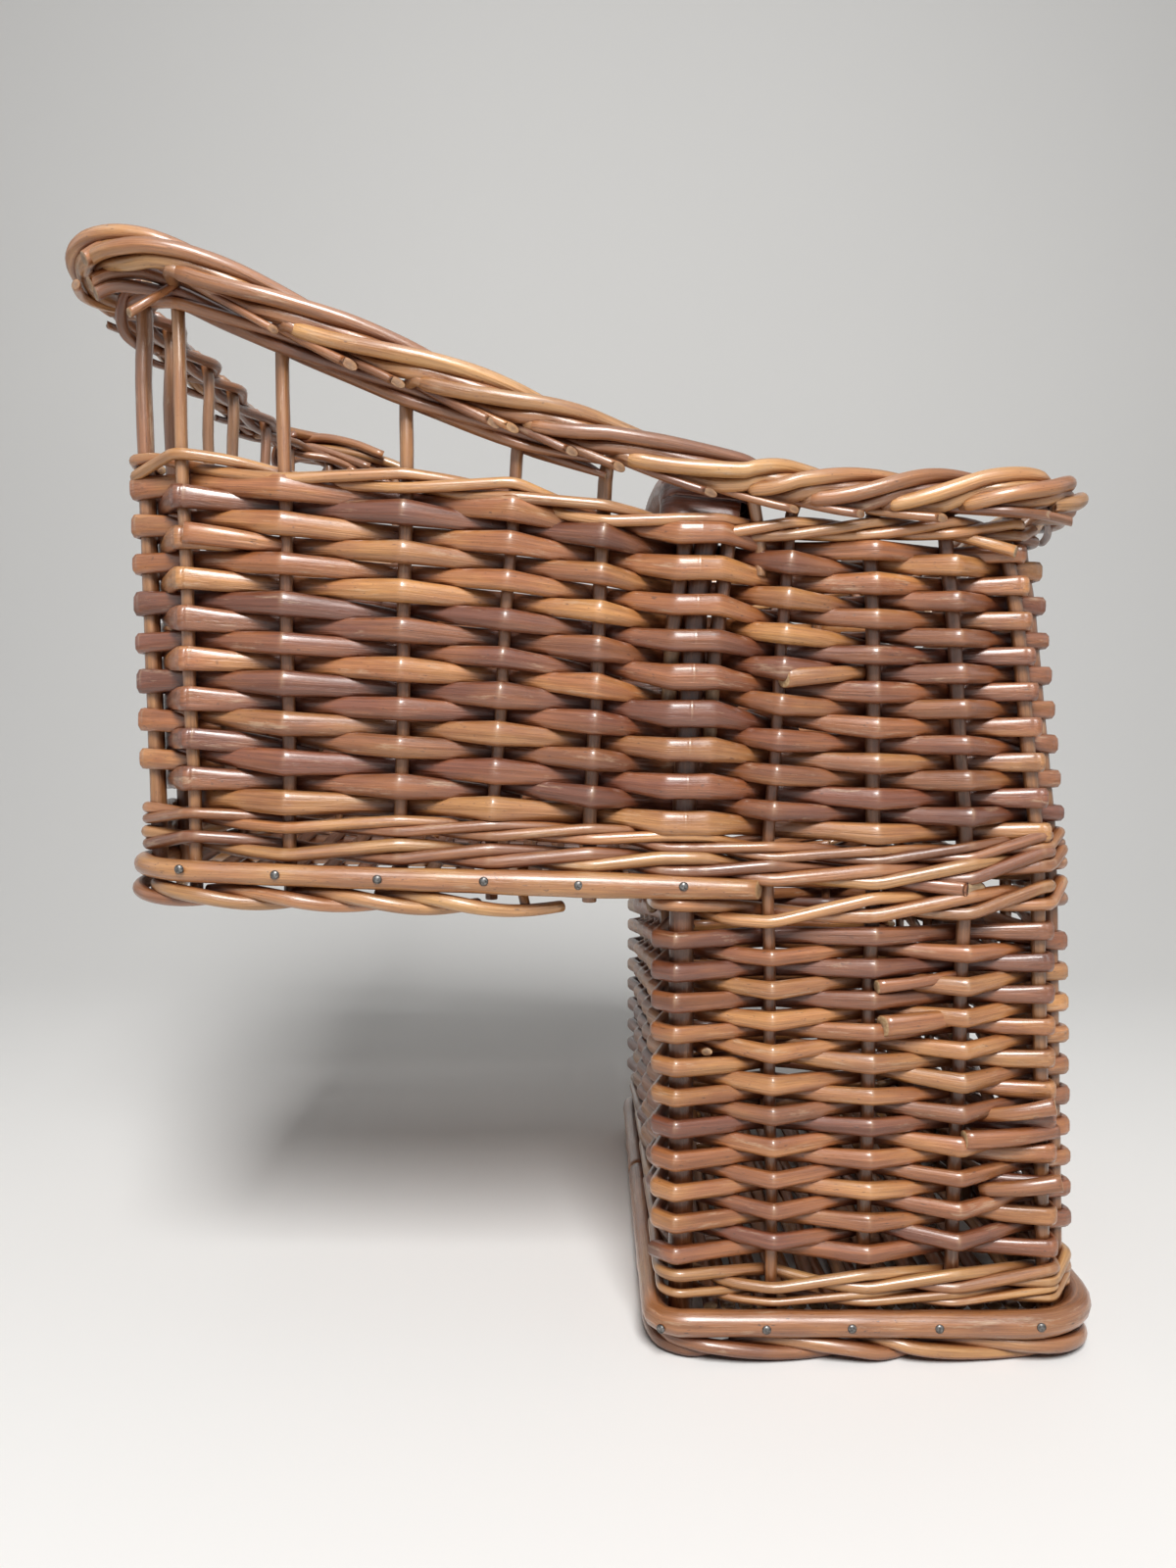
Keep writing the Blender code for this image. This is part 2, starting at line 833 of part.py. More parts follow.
def make_handle(parts, guides, materials):
    top_x = handle_x(HANDLE_BEND_HEIGHT)
    arch = handle_half(BOW_Y, top_x)
    feet = [Vector((0, -BOW_Y, leg_foot())), Vector((0, -BOW_Y, WAIST_HEIGHT))]
    rod("handle_bow", both_halves(feet + arch), BOW_RADIUS, 6, parts, materials["stake"])
    liners = (("left", -1, LINER_LENGTH_LEFT), ("right", 1, LINER_LENGTH_RIGHT))
    for name, step, length in liners:
        foot = HANDLE_BEND_HEIGHT - length
        half = []
        for height in (foot, foot + SLYPE_LENGTH):
            x = handle_x(height) + step * LINER_SPREAD
            half.append(Vector((x, -LINER_Y, height)))
        half += handle_half(LINER_Y, top_x + step * LINER_SPREAD)
        route = both_halves(half)
        shares = [slype_tip_share] + [1] * (len(route) - 2) + [slype_tip_share]
        full_name = f"handle_liner_{name}"
        rod(full_name, route, LINER_RADIUS, 6, parts, materials["stake"], shares)
    make_wrap(parts, guides, materials)


def even_points(route, count):
    """This many points at even steps along a route."""
    runs = [0]
    for a, b in zip(route, route[1:]):
        runs.append(runs[-1] + (b - a).length)
    points = []
    part = 0
    for step in range(count):
        run = runs[-1] * step / (count - 1)
        while part < len(route) - 2 and run > runs[part + 1]:
            part += 1
        share = (run - runs[part]) / (runs[part + 1] - runs[part])
        points.append(route[part].lerp(route[part + 1], share))
    return points


def oval_outline(half_width, half_height):
    """A flat oval of ten points: two straight sides joined by round ends."""
    flat = half_width - half_height
    points = []
    for side in (1, -1):
        for step in range(5):
            angle = math.pi * (step / 4 - 0.5)
            x = side * (flat + half_height * math.cos(angle))
            points.append(Vector((x, side * half_height * math.sin(angle), 0)))
    return points


def make_wrap(parts, guides, materials):
    """The skein wound round the three rods of the handle, as a ribbed sleeve."""
    top_x = handle_x(HANDLE_BEND_HEIGHT)
    route = both_halves(handle_half(BOW_Y, top_x))
    start = Vector((0, 0, WRAP_START))
    route[0] = route[0] + start
    route[-1] = route[-1] + start
    half_height = BOW_RADIUS + WRAP_FIT + WRAP_WALL
    outline = bpy.data.curves.new("wrap_outline", "CURVE")
    outline.dimensions = "2D"
    fill_spline(outline, oval_outline(WRAP_HALF_WIDTH, half_height), True)
    guide = add_guide("wrap_outline", outline, guides)
    curve = bpy.data.curves.new("handle_wrap", "CURVE")
    curve.dimensions = "3D"
    curve.bevel_mode = "OBJECT"
    curve.bevel_object = guide
    points = even_points(route, 2 * WRAP_TURNS + 1)
    shares = [1 if step % 2 else wrap_rib_share for step in range(len(points))]
    fill_spline(curve, points, False, shares)
    sleeve = add_object("handle_wrap", curve, parts, materials["handle"])
    sleeve = as_mesh(sleeve)
    solid = sleeve.modifiers.new("wall", "SOLIDIFY")
    solid.thickness = WRAP_WALL
    solid.offset = -1


def as_mesh(item):
    """The same object with its curve made a mesh, its caps welded to its sides."""
    bpy.context.view_layer.update()
    graph = bpy.context.evaluated_depsgraph_get()
    mesh = bpy.data.meshes.new_from_object(item.evaluated_get(graph))
    name, collection = item.name, item.users_collection[0]
    place = item.matrix_world.copy()
    bpy.data.objects.remove(item)
    shape = bmesh.new()
    shape.from_mesh(mesh)
    bmesh.ops.remove_doubles(shape, verts=shape.verts, dist=GAP / 100)
    bmesh.ops.recalc_face_normals(shape, faces=shape.faces)
    shape.to_mesh(mesh)
    shape.free()
    made = bpy.data.objects.new(name, mesh)
    made.matrix_world = place
    collection.objects.link(made)
    return made


def ring_route(ring, start, end, steps, height, out=0.0):
    """Points at even runs along a ring, each at its own height."""
    points = []
    for step in range(steps):
        flat, normal = ring.at(lerp(start, end, step / (steps - 1)), out)
        points.append(Vector((flat.x, flat.y, height(flat.x))))
    return points


def corner_runs(ring, part):
    """Runs at even steps round one corner of a ring."""
    start = sum(ring.lengths[:part])
    return [start + ring.lengths[part] * step / FRAME_STEPS for step in range(FRAME_STEPS + 1)]


def ring_points(ring, runs, height):
    points = []
    for run in runs:
        flat, normal = ring.at(run)
        points.append(Vector((flat.x, flat.y, height(flat.x))))
    return points


def make_frames(parts, materials):
    """The thick rods nailed round the leg's foot and round the shelf's floor."""
    out = STAKE_RADIUS + FRAME_RADIUS + GAP
    bow_out = BOW_RADIUS + FRAME_RADIUS + GAP
    half = HALF_WIDTH + out
    leg = Ring(-bow_out, LEG_LENGTH + out, half, bow_out, TOE_CORNER + out)
    runs = corner_runs(leg, 1) + corner_runs(leg, 3) + corner_runs(leg, 5) + corner_runs(leg, 7)
    points = ring_points(leg, runs, lambda x: leg_frame_height())
    rod("leg_frame_rod", points, FRAME_RADIUS, 6, parts, materials["frame"], cyclic=True)
    shelf = Ring(-SHELF_LENGTH - out, LEG_LENGTH, half, END_CORNER + out, END_CORNER)
    end_x = frame_end_share * LEG_LENGTH
    runs = [shelf.run_of(4, end_x)] + corner_runs(shelf, 5) + corner_runs(shelf, 7)
    runs += [shelf.total + shelf.run_of(0, end_x)]
    points = ring_points(shelf, runs, shelf_line)
    rod("shelf_frame_rod", points, FRAME_RADIUS, 6, parts, materials["frame"])


def ply(ring, start, length, twists, first_turn, middle):
    """One ply of a foot border: it circles the border's line as it runs along the ring."""
    steps = round(twists * STEPS_IN_TWIST)
    points = []
    for step in range(steps + 1):
        angle = 2 * math.pi * (first_turn + step / STEPS_IN_TWIST)
        out = FOOT_OUT + foot_turn() * math.cos(angle)
        flat, normal = ring.at(start + length * step / steps, out)
        height = middle(flat.x) + foot_turn() * math.sin(angle)
        points.append(Vector((flat.x, flat.y, height)))
    return points


def leg_foot_middle(x):
    return foot_rope_height() - foot_turn() - FOOT_RADIUS


def shelf_foot_middle(x):
    return shelf_foot(x) - GAP - foot_turn() - FOOT_RADIUS


def make_foot_borders(parts, guides, materials):
    ring = Ring(RISER_X, LEG_LENGTH, HALF_WIDTH, FOOT_CORNER, TOE_CORNER)
    points = ply(ring, 0, 2 * ring.total, LEG_FOOT_HALF_TWISTS, 0.25, leg_foot_middle)
    leg = rod("leg_foot_border", points[:-1], FOOT_RADIUS, 4, parts, materials["border"], cyclic=True)
    cut_flat(leg, Vector((0, 0, -FLAT_CUT)), 0, guides)
    ring = Ring(-SHELF_LENGTH, LEG_LENGTH, HALF_WIDTH, END_CORNER, END_CORNER)
    end_x = -shelf_foot_end_share * SHELF_LENGTH
    start = ring.run_of(4, end_x)
    length = ring.total + ring.run_of(0, end_x) - start
    points = ply(ring, start, length, SHELF_FOOT_TWISTS, 0.25, shelf_foot_middle)
    points += ply(ring, start, length, SHELF_FOOT_TWISTS, 0.75, shelf_foot_middle)[::-1]
    shelf = rod("shelf_foot_border", points, FOOT_RADIUS, 4, parts, materials["border"], cyclic=True)
    low = shelf_foot_middle(0) - foot_turn() - FOOT_RADIUS
    slope = math.atan(SHELF_FRAME_RISE / SHELF_LENGTH)
    cut_flat(shelf, Vector((0, 0, low)), slope, guides)


def cut_flat(item, place, slope, guides):
    """Trims the underside of a foot border to one flat plane."""
    item = as_mesh(item)
    size = 2 * (SHELF_LENGTH + LEG_LENGTH)
    mesh = bpy.data.meshes.new(f"{item.name}_cutter")
    shape = bmesh.new()
    bmesh.ops.create_cube(shape, size=size)
    bmesh.ops.translate(shape, verts=shape.verts, vec=(0, 0, FLAT_CUT - size / 2))
    shape.to_mesh(mesh)
    shape.free()
    cutter = add_guide(mesh.name, mesh, guides)
    cutter.location = place
    cutter.rotation_euler.y = slope
    trim = item.modifiers.new("flat", "BOOLEAN")
    trim.operation = "DIFFERENCE"
    trim.solver = "EXACT"
    trim.object = cutter


def wall_edge(x, inset):
    """How far from the middle plane the floor reaches at this x, inside the stakes."""
    room = HALF_WIDTH - inset
    for limit, corner in ((-SHELF_LENGTH, END_CORNER), (LEG_LENGTH, TOE_CORNER)):
        depth = corner - abs(x - limit)
        if depth > 0:
            reach = corner - inset
            return HALF_WIDTH - corner + math.sqrt(max(0, reach * reach - depth * depth))
    return room


def floor_route(first_x, last_x, rows, sticks, middle):
    """A weaver runs to and fro across the floor, over one stick and under the next."""
    lift = STICK_RADIUS + FLOOR_WEAVER_THICKNESS / 2 + GAP
    inset = STAKE_RADIUS + FLOOR_WEAVER_WIDTH / 2 + 2 * GAP
    points = []
    for row in range(rows):
        x = lerp(first_x, last_x, row / (rows - 1))
        edge = wall_edge(x, inset)
        height = middle(x)
        across = [Vector((x, -edge, height))]
        for number, y in enumerate(sticks):
            side = 1 if (row + number) % 2 == 0 else -1
            across.append(Vector((x, y, height + side * lift)))
        across.append(Vector((x, edge, height)))
        points += across if row % 2 == 0 else across[::-1]
    return points


def make_floor(name, left, right, rows, shares, middle, parts, profile, materials):
    sticks = [share * HALF_WIDTH for share in shares]
    for number, y in enumerate(sticks, 1):
        route = [Vector((left, y, middle(left))), Vector((right, y, middle(right)))]
        rod(f"{name}_stick_{number}", route, STICK_RADIUS, 6, parts, materials["stake"])
    first_x = left + FLOOR_MARGIN
    route = floor_route(first_x, right - FLOOR_MARGIN, rows, sticks, middle)
    split(f"{name}_floor_weave", route, profile, parts, materials["weaver"])


def leg_floor_line(x):
    return leg_frame_height()


def make_floors(parts, guides, materials):
    end = BOW_Y - BOW_RADIUS - GAP
    route = [Vector((0, -end, shelf_line(0))), Vector((0, end, shelf_line(0)))]
    rod("cross_bar", route, FRAME_RADIUS, 6, parts, materials["frame"])
    outline = [
        Vector((0, -FLOOR_WEAVER_THICKNESS / 2, 0)),
        Vector((-FLOOR_WEAVER_WIDTH / 2, 0, 0)),
        Vector((0, FLOOR_WEAVER_THICKNESS / 2, 0)),
        Vector((FLOOR_WEAVER_WIDTH / 2, 0, 0)),
    ]
    curve = bpy.data.curves.new("floor_split", "CURVE")
    curve.dimensions = "2D"
    fill_spline(curve, outline, True)
    profile = add_guide("floor_split", curve, guides)
    fit = STAKE_RADIUS + GAP
    left, right = fit - SHELF_LENGTH, -FRAME_RADIUS - GAP
    shares = stick_shares_shelf
    make_floor("shelf", left, right, FLOOR_ROWS_SHELF, shares, shelf_line, parts, profile, materials)
    lean = TOE_LEAN_LEG * leg_frame_height() / WAIST_HEIGHT
    left, right = RISER_X + fit, LEG_LENGTH - lean - fit
    shares = stick_shares_leg
    make_floor("leg", left, right, FLOOR_ROWS_LEG, shares, leg_floor_line, parts, profile, materials)


def stand_on_origin(parts, guides):
    """An empty carries every piece and sets the basket's bottom middle on the origin."""
    bpy.context.view_layer.update()
    graph = bpy.context.evaluated_depsgraph_get()
    low = Vector((SHELF_LENGTH, SHELF_LENGTH, SHELF_LENGTH))
    high = -low
    for item in parts.objects:
        solid = item.evaluated_get(graph)
        mesh = solid.to_mesh()
        for vertex in mesh.vertices:
            point = solid.matrix_world @ vertex.co
            low = Vector(map(min, low, point))
            high = Vector(map(max, high, point))
        solid.to_mesh_clear()
    stand = bpy.data.objects.new("stand", None)
    stand.location = (-(low.x + high.x) / 2, -(low.y + high.y) / 2, -low.z)
    for item in list(parts.objects) + list(guides.objects):
        item.parent = stand
    parts.objects.link(stand)
    bpy.context.view_layer.update()


def clear_scene():
    for item in list(bpy.data.objects):
        bpy.data.objects.remove(item)


def new_collection(name):
    collection = bpy.data.collections.new(name)
    bpy.context.scene.collection.children.link(collection)
    return collection


def main():
    clear_scene()
    parts = new_collection("stair_basket")
    guides = new_collection("guides")
    materials = {name: make_material(name) for name in COLOURS}
    make_stakes(parts, materials)
    make_riser_stakes(parts, materials)
    make_weaves(parts, guides, materials)
    make_wales(parts, materials)
    make_rim_wale(parts, materials)
    make_handle(parts, guides, materials)
    make_frames(parts, materials)
    make_foot_borders(parts, guides, materials)
    make_floors(parts, guides, materials)
    stand_on_origin(parts, guides)


main()
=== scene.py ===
"""The willow stair basket's looks: every rod as a real rod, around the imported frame."""

import math

import bmesh
import bpy
import numpy as np
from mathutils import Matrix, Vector
from mathutils.geometry import intersect_point_line


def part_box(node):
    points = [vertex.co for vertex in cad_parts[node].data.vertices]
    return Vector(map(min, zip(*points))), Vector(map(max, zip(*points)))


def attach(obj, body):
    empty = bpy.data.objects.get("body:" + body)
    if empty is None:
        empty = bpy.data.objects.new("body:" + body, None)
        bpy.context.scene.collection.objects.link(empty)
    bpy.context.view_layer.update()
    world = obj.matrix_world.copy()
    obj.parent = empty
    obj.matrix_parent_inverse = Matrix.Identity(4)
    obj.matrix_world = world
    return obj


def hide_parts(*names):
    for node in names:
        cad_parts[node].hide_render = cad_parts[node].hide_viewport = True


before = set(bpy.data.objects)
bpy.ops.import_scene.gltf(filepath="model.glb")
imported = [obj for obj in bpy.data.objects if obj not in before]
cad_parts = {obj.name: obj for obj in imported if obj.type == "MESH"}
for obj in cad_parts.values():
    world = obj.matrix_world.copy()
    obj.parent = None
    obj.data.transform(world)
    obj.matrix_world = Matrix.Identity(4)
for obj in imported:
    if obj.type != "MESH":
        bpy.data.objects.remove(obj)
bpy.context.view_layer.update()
chance = np.random.default_rng(20)

# Where the routes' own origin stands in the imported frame
bar_low, bar_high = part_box("cross_bar")
STAND = np.array([(bar_low.x + bar_high.x) / 2, (bar_low.y + bar_high.y) / 2, 0.0])

# Plan of the stakes' centre lines, in metres, as in the solid model
SHELF_LENGTH = 0.221
LEG_LENGTH = 0.1635
HALF_WIDTH = 0.138
END_CORNER = 0.026
TOE_CORNER = 0.024
END_LEAN = 0.005
TOE_LEAN_LEG = 0.006
TOE_LEAN_UPPER = 0.015
LEFT_CORNER_ANGLES = (math.radians(8), math.radians(72))
RIGHT_CORNER_ANGLES = (math.radians(32), math.radians(72))
WAIST_HEIGHT = 0.210
RIM_LOW = 0.3515
RIM_RISE = 0.091
SHELF_FRAME_HEIGHT = 0.1945
SHELF_FRAME_RISE = 0.0065
GAP = 0.0003

STAKE_RADIUS = 0.00275
BORDER_RADIUS = 0.0031
BOW_RADIUS = 0.0052
LINER_RADIUS = 0.0032
FRAME_RADIUS = 0.0052
STICK_RADIUS = 0.0035

near_shelf_waist_shares = (0.724, 0.520, 0.353, 0.172)
near_shelf_rim_shares = (0.729, 0.502, 0.299, 0.140)
near_leg_base_shares = (0.232, 0.459, 0.679)
near_leg_waist_shares = (0.214, 0.477, 0.709)
near_leg_rim_shares = (0.269, 0.465, 0.645)
bow_rim_share = 0.049
end_stake_shares = (0.50, 0.05, -0.24, -0.62)
toe_stake_shares = (-0.47, 0.0, 0.47)
riser_stake_shares = (0.57, 0.19, -0.19, -0.57)

# Heights measured along the wall: x from the leg's corner rod, then height
ROW_LOW = ((-0.213, -0.160, -0.075, 0.001, 0.076, 0.145),
           (0.2310, 0.2285, 0.2260, 0.2205, 0.2155, 0.2160))
ROW_HIGH = ((-0.210, -0.110, -0.034, 0.040, 0.113, 0.145),
            (0.3520, 0.3440, 0.3345, 0.3237, 0.3232, 0.3235))
ROW_TOP = ((-0.210, -0.160, -0.070, 0.004, 0.040, 0.076, 0.113, 0.145),
           (0.3595, 0.3540, 0.3455, 0.3355, 0.3302, 0.3296, 0.3290, 0.3290))
TOP_WALE = ((-0.215, -0.160, -0.075, -0.038, 0.008, 0.145),
            (0.3665, 0.3612, 0.3532, 0.3440, 0.3378, 0.3382))
UPPER_ROWS = 17
LEG_ROWS = 21
LEG_ROW_LOW = 0.0438
LEG_ROW_TOP = 0.1730
LEG_ROW_SLOPE = 0.018

# Camera
camera_data = bpy.data.cameras.new("camera")
camera_data.lens = 27
camera_data.sensor_width = 36
camera_data.clip_start = 0.01
camera = bpy.data.objects.new("camera", camera_data)
camera.location = (-0.0031, -0.617, 0.255)
camera.rotation_euler = (math.radians(90 - 2.3), 0, 0)
bpy.context.scene.collection.objects.link(camera)
bpy.context.scene.camera = camera


def lerp(a, b, share):
    return a + (b - a) * share


def smooth(share):
    share = np.clip(share, 0.0, 1.0)
    return share * share * (3 - 2 * share)


# Stations
class Ring:
    """A rounded rectangle in plan, run anticlockwise from the near wall's left end."""

    def __init__(self, left, right, half, left_corner, right_corner):
        self.left, self.right, self.half = left, right, half
        self.radii = (left_corner, right_corner)
        quarter = math.pi / 2
        near = right - left - left_corner - right_corner
        toe, end = 2 * (half - right_corner), 2 * (half - left_corner)
        right_arc, left_arc = quarter * right_corner, quarter * left_corner
        self.lengths = (near, right_arc, toe, right_arc, near, left_arc, end, left_arc)
        self.total = sum(self.lengths)

    def at(self, run, out=0.0):
        run = run % self.total
        part = 0
        while part < 7 and run > self.lengths[part]:
            run -= self.lengths[part]
            part += 1
        left_corner, right_corner = self.radii
        inner_left = self.left + left_corner
        inner_right = self.right - right_corner
        if part == 0:
            point, normal = Vector((inner_left + run, -self.half)), Vector((0, -1))
        elif part == 1:
            point, normal = self.corner(inner_right, -1, right_corner, run, -0.25)
        elif part == 2:
            point = Vector((self.right, right_corner - self.half + run))
            normal = Vector((1, 0))
        elif part == 3:
            point, normal = self.corner(inner_right, 1, right_corner, run, 0.0)
        elif part == 4:
            point, normal = Vector((inner_right - run, self.half)), Vector((0, 1))
        elif part == 5:
            point, normal = self.corner(inner_left, 1, left_corner, run, 0.25)
        elif part == 6:
            point = Vector((self.left, self.half - left_corner - run))
            normal = Vector((-1, 0))
        else:
            point, normal = self.corner(inner_left, -1, left_corner, run, 0.5)
        return point + normal * out, normal

    def corner(self, centre_x, side, radius, run, start_turn):
        angle = 2 * math.pi * start_turn + run / radius
        normal = Vector((math.cos(angle), math.sin(angle)))
        centre = Vector((centre_x, side * (self.half - radius)))
        return centre + normal * radius, normal

    def run_of(self, part, value):
        before = sum(self.lengths[:part])
        left_corner, right_corner = self.radii
        if part == 0:
            return before + value - self.left - left_corner
        if part == 4:
            return before + self.right - right_corner - value
        if part == 2:
            return before + value + self.half - right_corner
        if part == 6:
            return before + self.half - left_corner - value
        return before + value * self.radii[0 if part in (5, 7) else 1]


def upper_ring(level):
    left = -SHELF_LENGTH - (END_LEAN if level == 2 else 0)
    right = LEG_LENGTH
    if level > 0:
        right -= TOE_LEAN_LEG
    if level > 1:
        right -= TOE_LEAN_UPPER
    return Ring(left, right, HALF_WIDTH, END_CORNER, TOE_CORNER)


RINGS = (upper_ring(0), upper_ring(1), upper_ring(2))
BOW_Y = HALF_WIDTH + STAKE_RADIUS - BOW_RADIUS
LINER_Y = HALF_WIDTH + STAKE_RADIUS - LINER_RADIUS
RISER_X = STAKE_RADIUS - BOW_RADIUS
LINER_SPREAD = BOW_RADIUS + LINER_RADIUS + GAP


def rise_share(x):
    flat_x = LEG_LENGTH / 2
    share = min(1.0, max(0.0, (flat_x - x) / (flat_x + SHELF_LENGTH)))
    return (2 - share) * share * share


def rope_height(x):
    return RIM_LOW + RIM_RISE * rise_share(x)


def shelf_line(x):
    return SHELF_FRAME_HEIGHT - SHELF_FRAME_RISE * x / SHELF_LENGTH


class Station:
    """One stake, or one bow, that the weavers pass in front of or behind."""

    def __init__(self, name, kind, plan, normal):
        self.name, self.kind, self.plan, self.normal = name, kind, plan, normal
        self.top = rope_height(plan[2].x)

    def at(self, height):
        base, waist, rim = self.plan
        if height < WAIST_HEIGHT:
            point = base.lerp(waist, height / WAIST_HEIGHT)
        else:
            share = (height - WAIST_HEIGHT) / (self.top - WAIST_HEIGHT)
            point = waist.lerp(rim, share)
        return Vector((point.x, point.y, height))

    def offset(self, height, out):
        return self.at(height) + Vector((self.normal.x, self.normal.y, 0)) * out


def station(name, kind, part, values):
    plan = []
    for ring, value in zip(RINGS, values):
        point, normal = ring.at(ring.run_of(part, value))
        plan.append(point)
    return Station(name, kind, tuple(plan), normal)


def corner_pair(first_name, second_name, part, angles):
    """Angles run from the long wall's normal; parts 3 and 7 are met from the other side."""
    first, second = angles
    if part in (3, 7):
        first, second = math.pi / 2 - second, math.pi / 2 - first
    return [
        station(first_name, "corner", part, (first,) * 3),
        station(second_name, "corner", part, (second,) * 3),
    ]


def long_wall(side, part):
    found = []
    shelf = zip(near_shelf_waist_shares, near_shelf_rim_shares)
    for number, (waist, rim) in enumerate(shelf, 2):
        values = (-waist * SHELF_LENGTH, -waist * SHELF_LENGTH, -rim * SHELF_LENGTH)
        found.append(station(f"{side}_stake_{number}", "wall", part, values))
    found.append(station(f"{side}_bow", "bow", part, (0.0, 0.0, bow_rim_share * LEG_LENGTH)))
    leg = zip(near_leg_base_shares, near_leg_waist_shares, near_leg_rim_shares)
    for number, shares in enumerate(leg, 6):
        values = tuple(share * LEG_LENGTH for share in shares)
        found.append(station(f"{side}_stake_{number}", "wall", part, values))
    return found


def short_wall(name, part, shares, first):
    found = []
    for number, share in enumerate(shares, first):
        found.append(station(f"{name}_{number}", "wall", part, (share * HALF_WIDTH,) * 3))
    return found


def upper_stations():
    near_left = corner_pair("end_stake_6", "near_stake_1", 7, LEFT_CORNER_ANGLES)
    near_right = corner_pair("near_stake_9", "toe_stake_1", 1, RIGHT_CORNER_ANGLES)
    far_right = corner_pair("toe_stake_5", "far_stake_9", 3, RIGHT_CORNER_ANGLES)
    far_left = corner_pair("far_stake_1", "end_stake_1", 5, LEFT_CORNER_ANGLES)
    toe = short_wall("toe_stake", 2, toe_stake_shares, 2)
    end = short_wall("end_stake", 6, end_stake_shares, 2)
    near, far = long_wall("near", 0), long_wall("far", 4)
    found = [near_left[1]] + near + near_right + toe + far_right
    return found + far[::-1] + far_left + end + [near_left[0]]


def leg_corner(name, side):
    point = Vector((0, side * BOW_Y))
    return Station(name, "leg_corner", (point,) * 3, Vector((-1, side)).normalized())


def leg_stations():
    names = [place.name for place in UPPER]
    found = [leg_corner("near_corner", -1)]
    found += UPPER[names.index("near_bow") + 1 : names.index("far_bow")]
    found.append(leg_corner("far_corner", 1))
    for number, share in enumerate(riser_stake_shares, 1):
        point = Vector((RISER_X, share * HALF_WIDTH))
        found.append(Station(f"riser_stake_{number}", "wall", (point,) * 3, Vector((-1, 0))))
    return found


UPPER = upper_stations()
LEG = leg_stations()
INDEX = {place.name: number for number, place in enumerate(UPPER)}
TURNS = {"leg_corner": (math.radians(-28), math.radians(28)),
         "corner": (math.radians(-26), math.radians(26))}
CORNER_DEEP = 0.0014


def crossing(place, height, side, reach):
    """Points at which a rod crosses a station, on the outside (1) or the inside (-1)."""
    if place.kind == "bow":
        middle = place.at(height)
        direction = 1 if place.normal.y < 0 else -1
        along = direction * LINER_SPREAD
        out = place.normal.y * side
        if side < 0:
            return [middle + Vector((step * along, out * reach, 0)) for step in (-1, 1)]
        return [middle + Vector((step * along, out * (reach - 0.001 * abs(step)), 0))
                for step in (-1, 0, 1)]
    if place.kind in TURNS and side > 0:
        middle = place.at(height)
        base = math.atan2(place.normal.y, place.normal.x)
        found = []
        for turn in TURNS[place.kind]:
            way = Vector((math.cos(base + turn), math.sin(base + turn), 0))
            found.append(middle + way * reach)
        return found
    return [place.offset(height, side * reach)]


def sections(place, height):
    middle = place.at(height)
    if place.kind == "leg_corner":
        return [(middle, BOW_RADIUS)]
    if place.kind != "bow":
        return [(middle, STAKE_RADIUS)]
    side = place.normal.y
    found = [(Vector((middle.x, side * BOW_Y, height)), BOW_RADIUS)]
    for step in (-1, 1):
        point = Vector((middle.x + step * LINER_SPREAD, side * LINER_Y, height))
        found.append((point, LINER_RADIUS))
    return found


def shortfall(trio, side, height, reach, clear):
    before, place, after = trio
    path = crossing(before, height, -side, reach[before.name, -side])[-1:]
    path += crossing(place, height, side, reach[place.name, side])
    path += crossing(after, height, -side, reach[after.name, -side])[:1]
    short = 0
    for middle, radius in sections(place, height):
        for a, b in zip(path, path[1:]):
            nearest, share = intersect_point_line(middle, a, b)
            nearest = a.lerp(b, min(1, max(0, share)))
            short = max(short, radius + clear - (middle - nearest).length)
    return short


def reaches(stations, half_thickness, heights):
    """How far a rod is led out and in at each station so that it clears what it crosses."""
    clear = half_thickness + GAP
    trios = list(zip(stations[-1:] + stations[:-1], stations, stations[1:] + stations[:1]))
    reach = {}
    for place in stations:
        reach[place.name, 1] = reach[place.name, -1] = STAKE_RADIUS + clear
    for _ in range(12):
        for trio in trios:
            for side in (1, -1):
                for height in heights:
                    short = shortfall(trio, side, height, reach, clear)
                    reach[trio[1].name, side] += short
    for place in stations:
        if place.kind == "corner":
            hug = (STAKE_RADIUS + GAP + min(CORNER_DEEP, half_thickness)) * 1.10
            reach[place.name, 1] = min(reach[place.name, 1], hug)
    return reach


# Rods as meshes
class Bundle:
    """Rods gathered into one mesh, each vertex knowing its rod's colour and grain."""

    def __init__(self, name):
        self.name = name
        self.points, self.quads, self.fans = [], [], []
        self.grain, self.tint, self.mark = [], [], []
        self.count = 0

    def add(self, points, grain, tint, mark, quads, fans):
        self.points.append(points)
        self.grain.append(grain)
        self.tint.append(tint)
        self.mark.append(mark)
        self.quads.append(quads + self.count)
        if len(fans):
            self.fans.append(fans + self.count)
        self.count += len(points)

    def make(self, material, slot, *nodes):
        points = np.concatenate(self.points) + STAND
        quads = np.concatenate(self.quads)
        fans = np.concatenate(self.fans) if self.fans else np.zeros((0, 3), int)
        mesh = bpy.data.meshes.new(self.name)
        mesh.from_pydata(points, [], quads.tolist() + fans.tolist())
        for name, values in (("grain", self.grain), ("tint", self.tint), ("mark", self.mark)):
            layer = mesh.attributes.new(name, "FLOAT_VECTOR", "POINT")
            layer.data.foreach_set("vector", np.concatenate(values).astype(np.float32).ravel())
        mesh.polygons.foreach_set("use_smooth", [True] * len(mesh.polygons))
        mesh.materials.append(material)
        item = bpy.data.objects.new(self.name, mesh)
        bpy.context.scene.collection.objects.link(item)
        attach(item, "root")
        if nodes:
            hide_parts(*nodes)
        return item


def unit(vectors):
    return vectors / np.maximum(np.linalg.norm(vectors, axis=-1, keepdims=True), 1e-12)


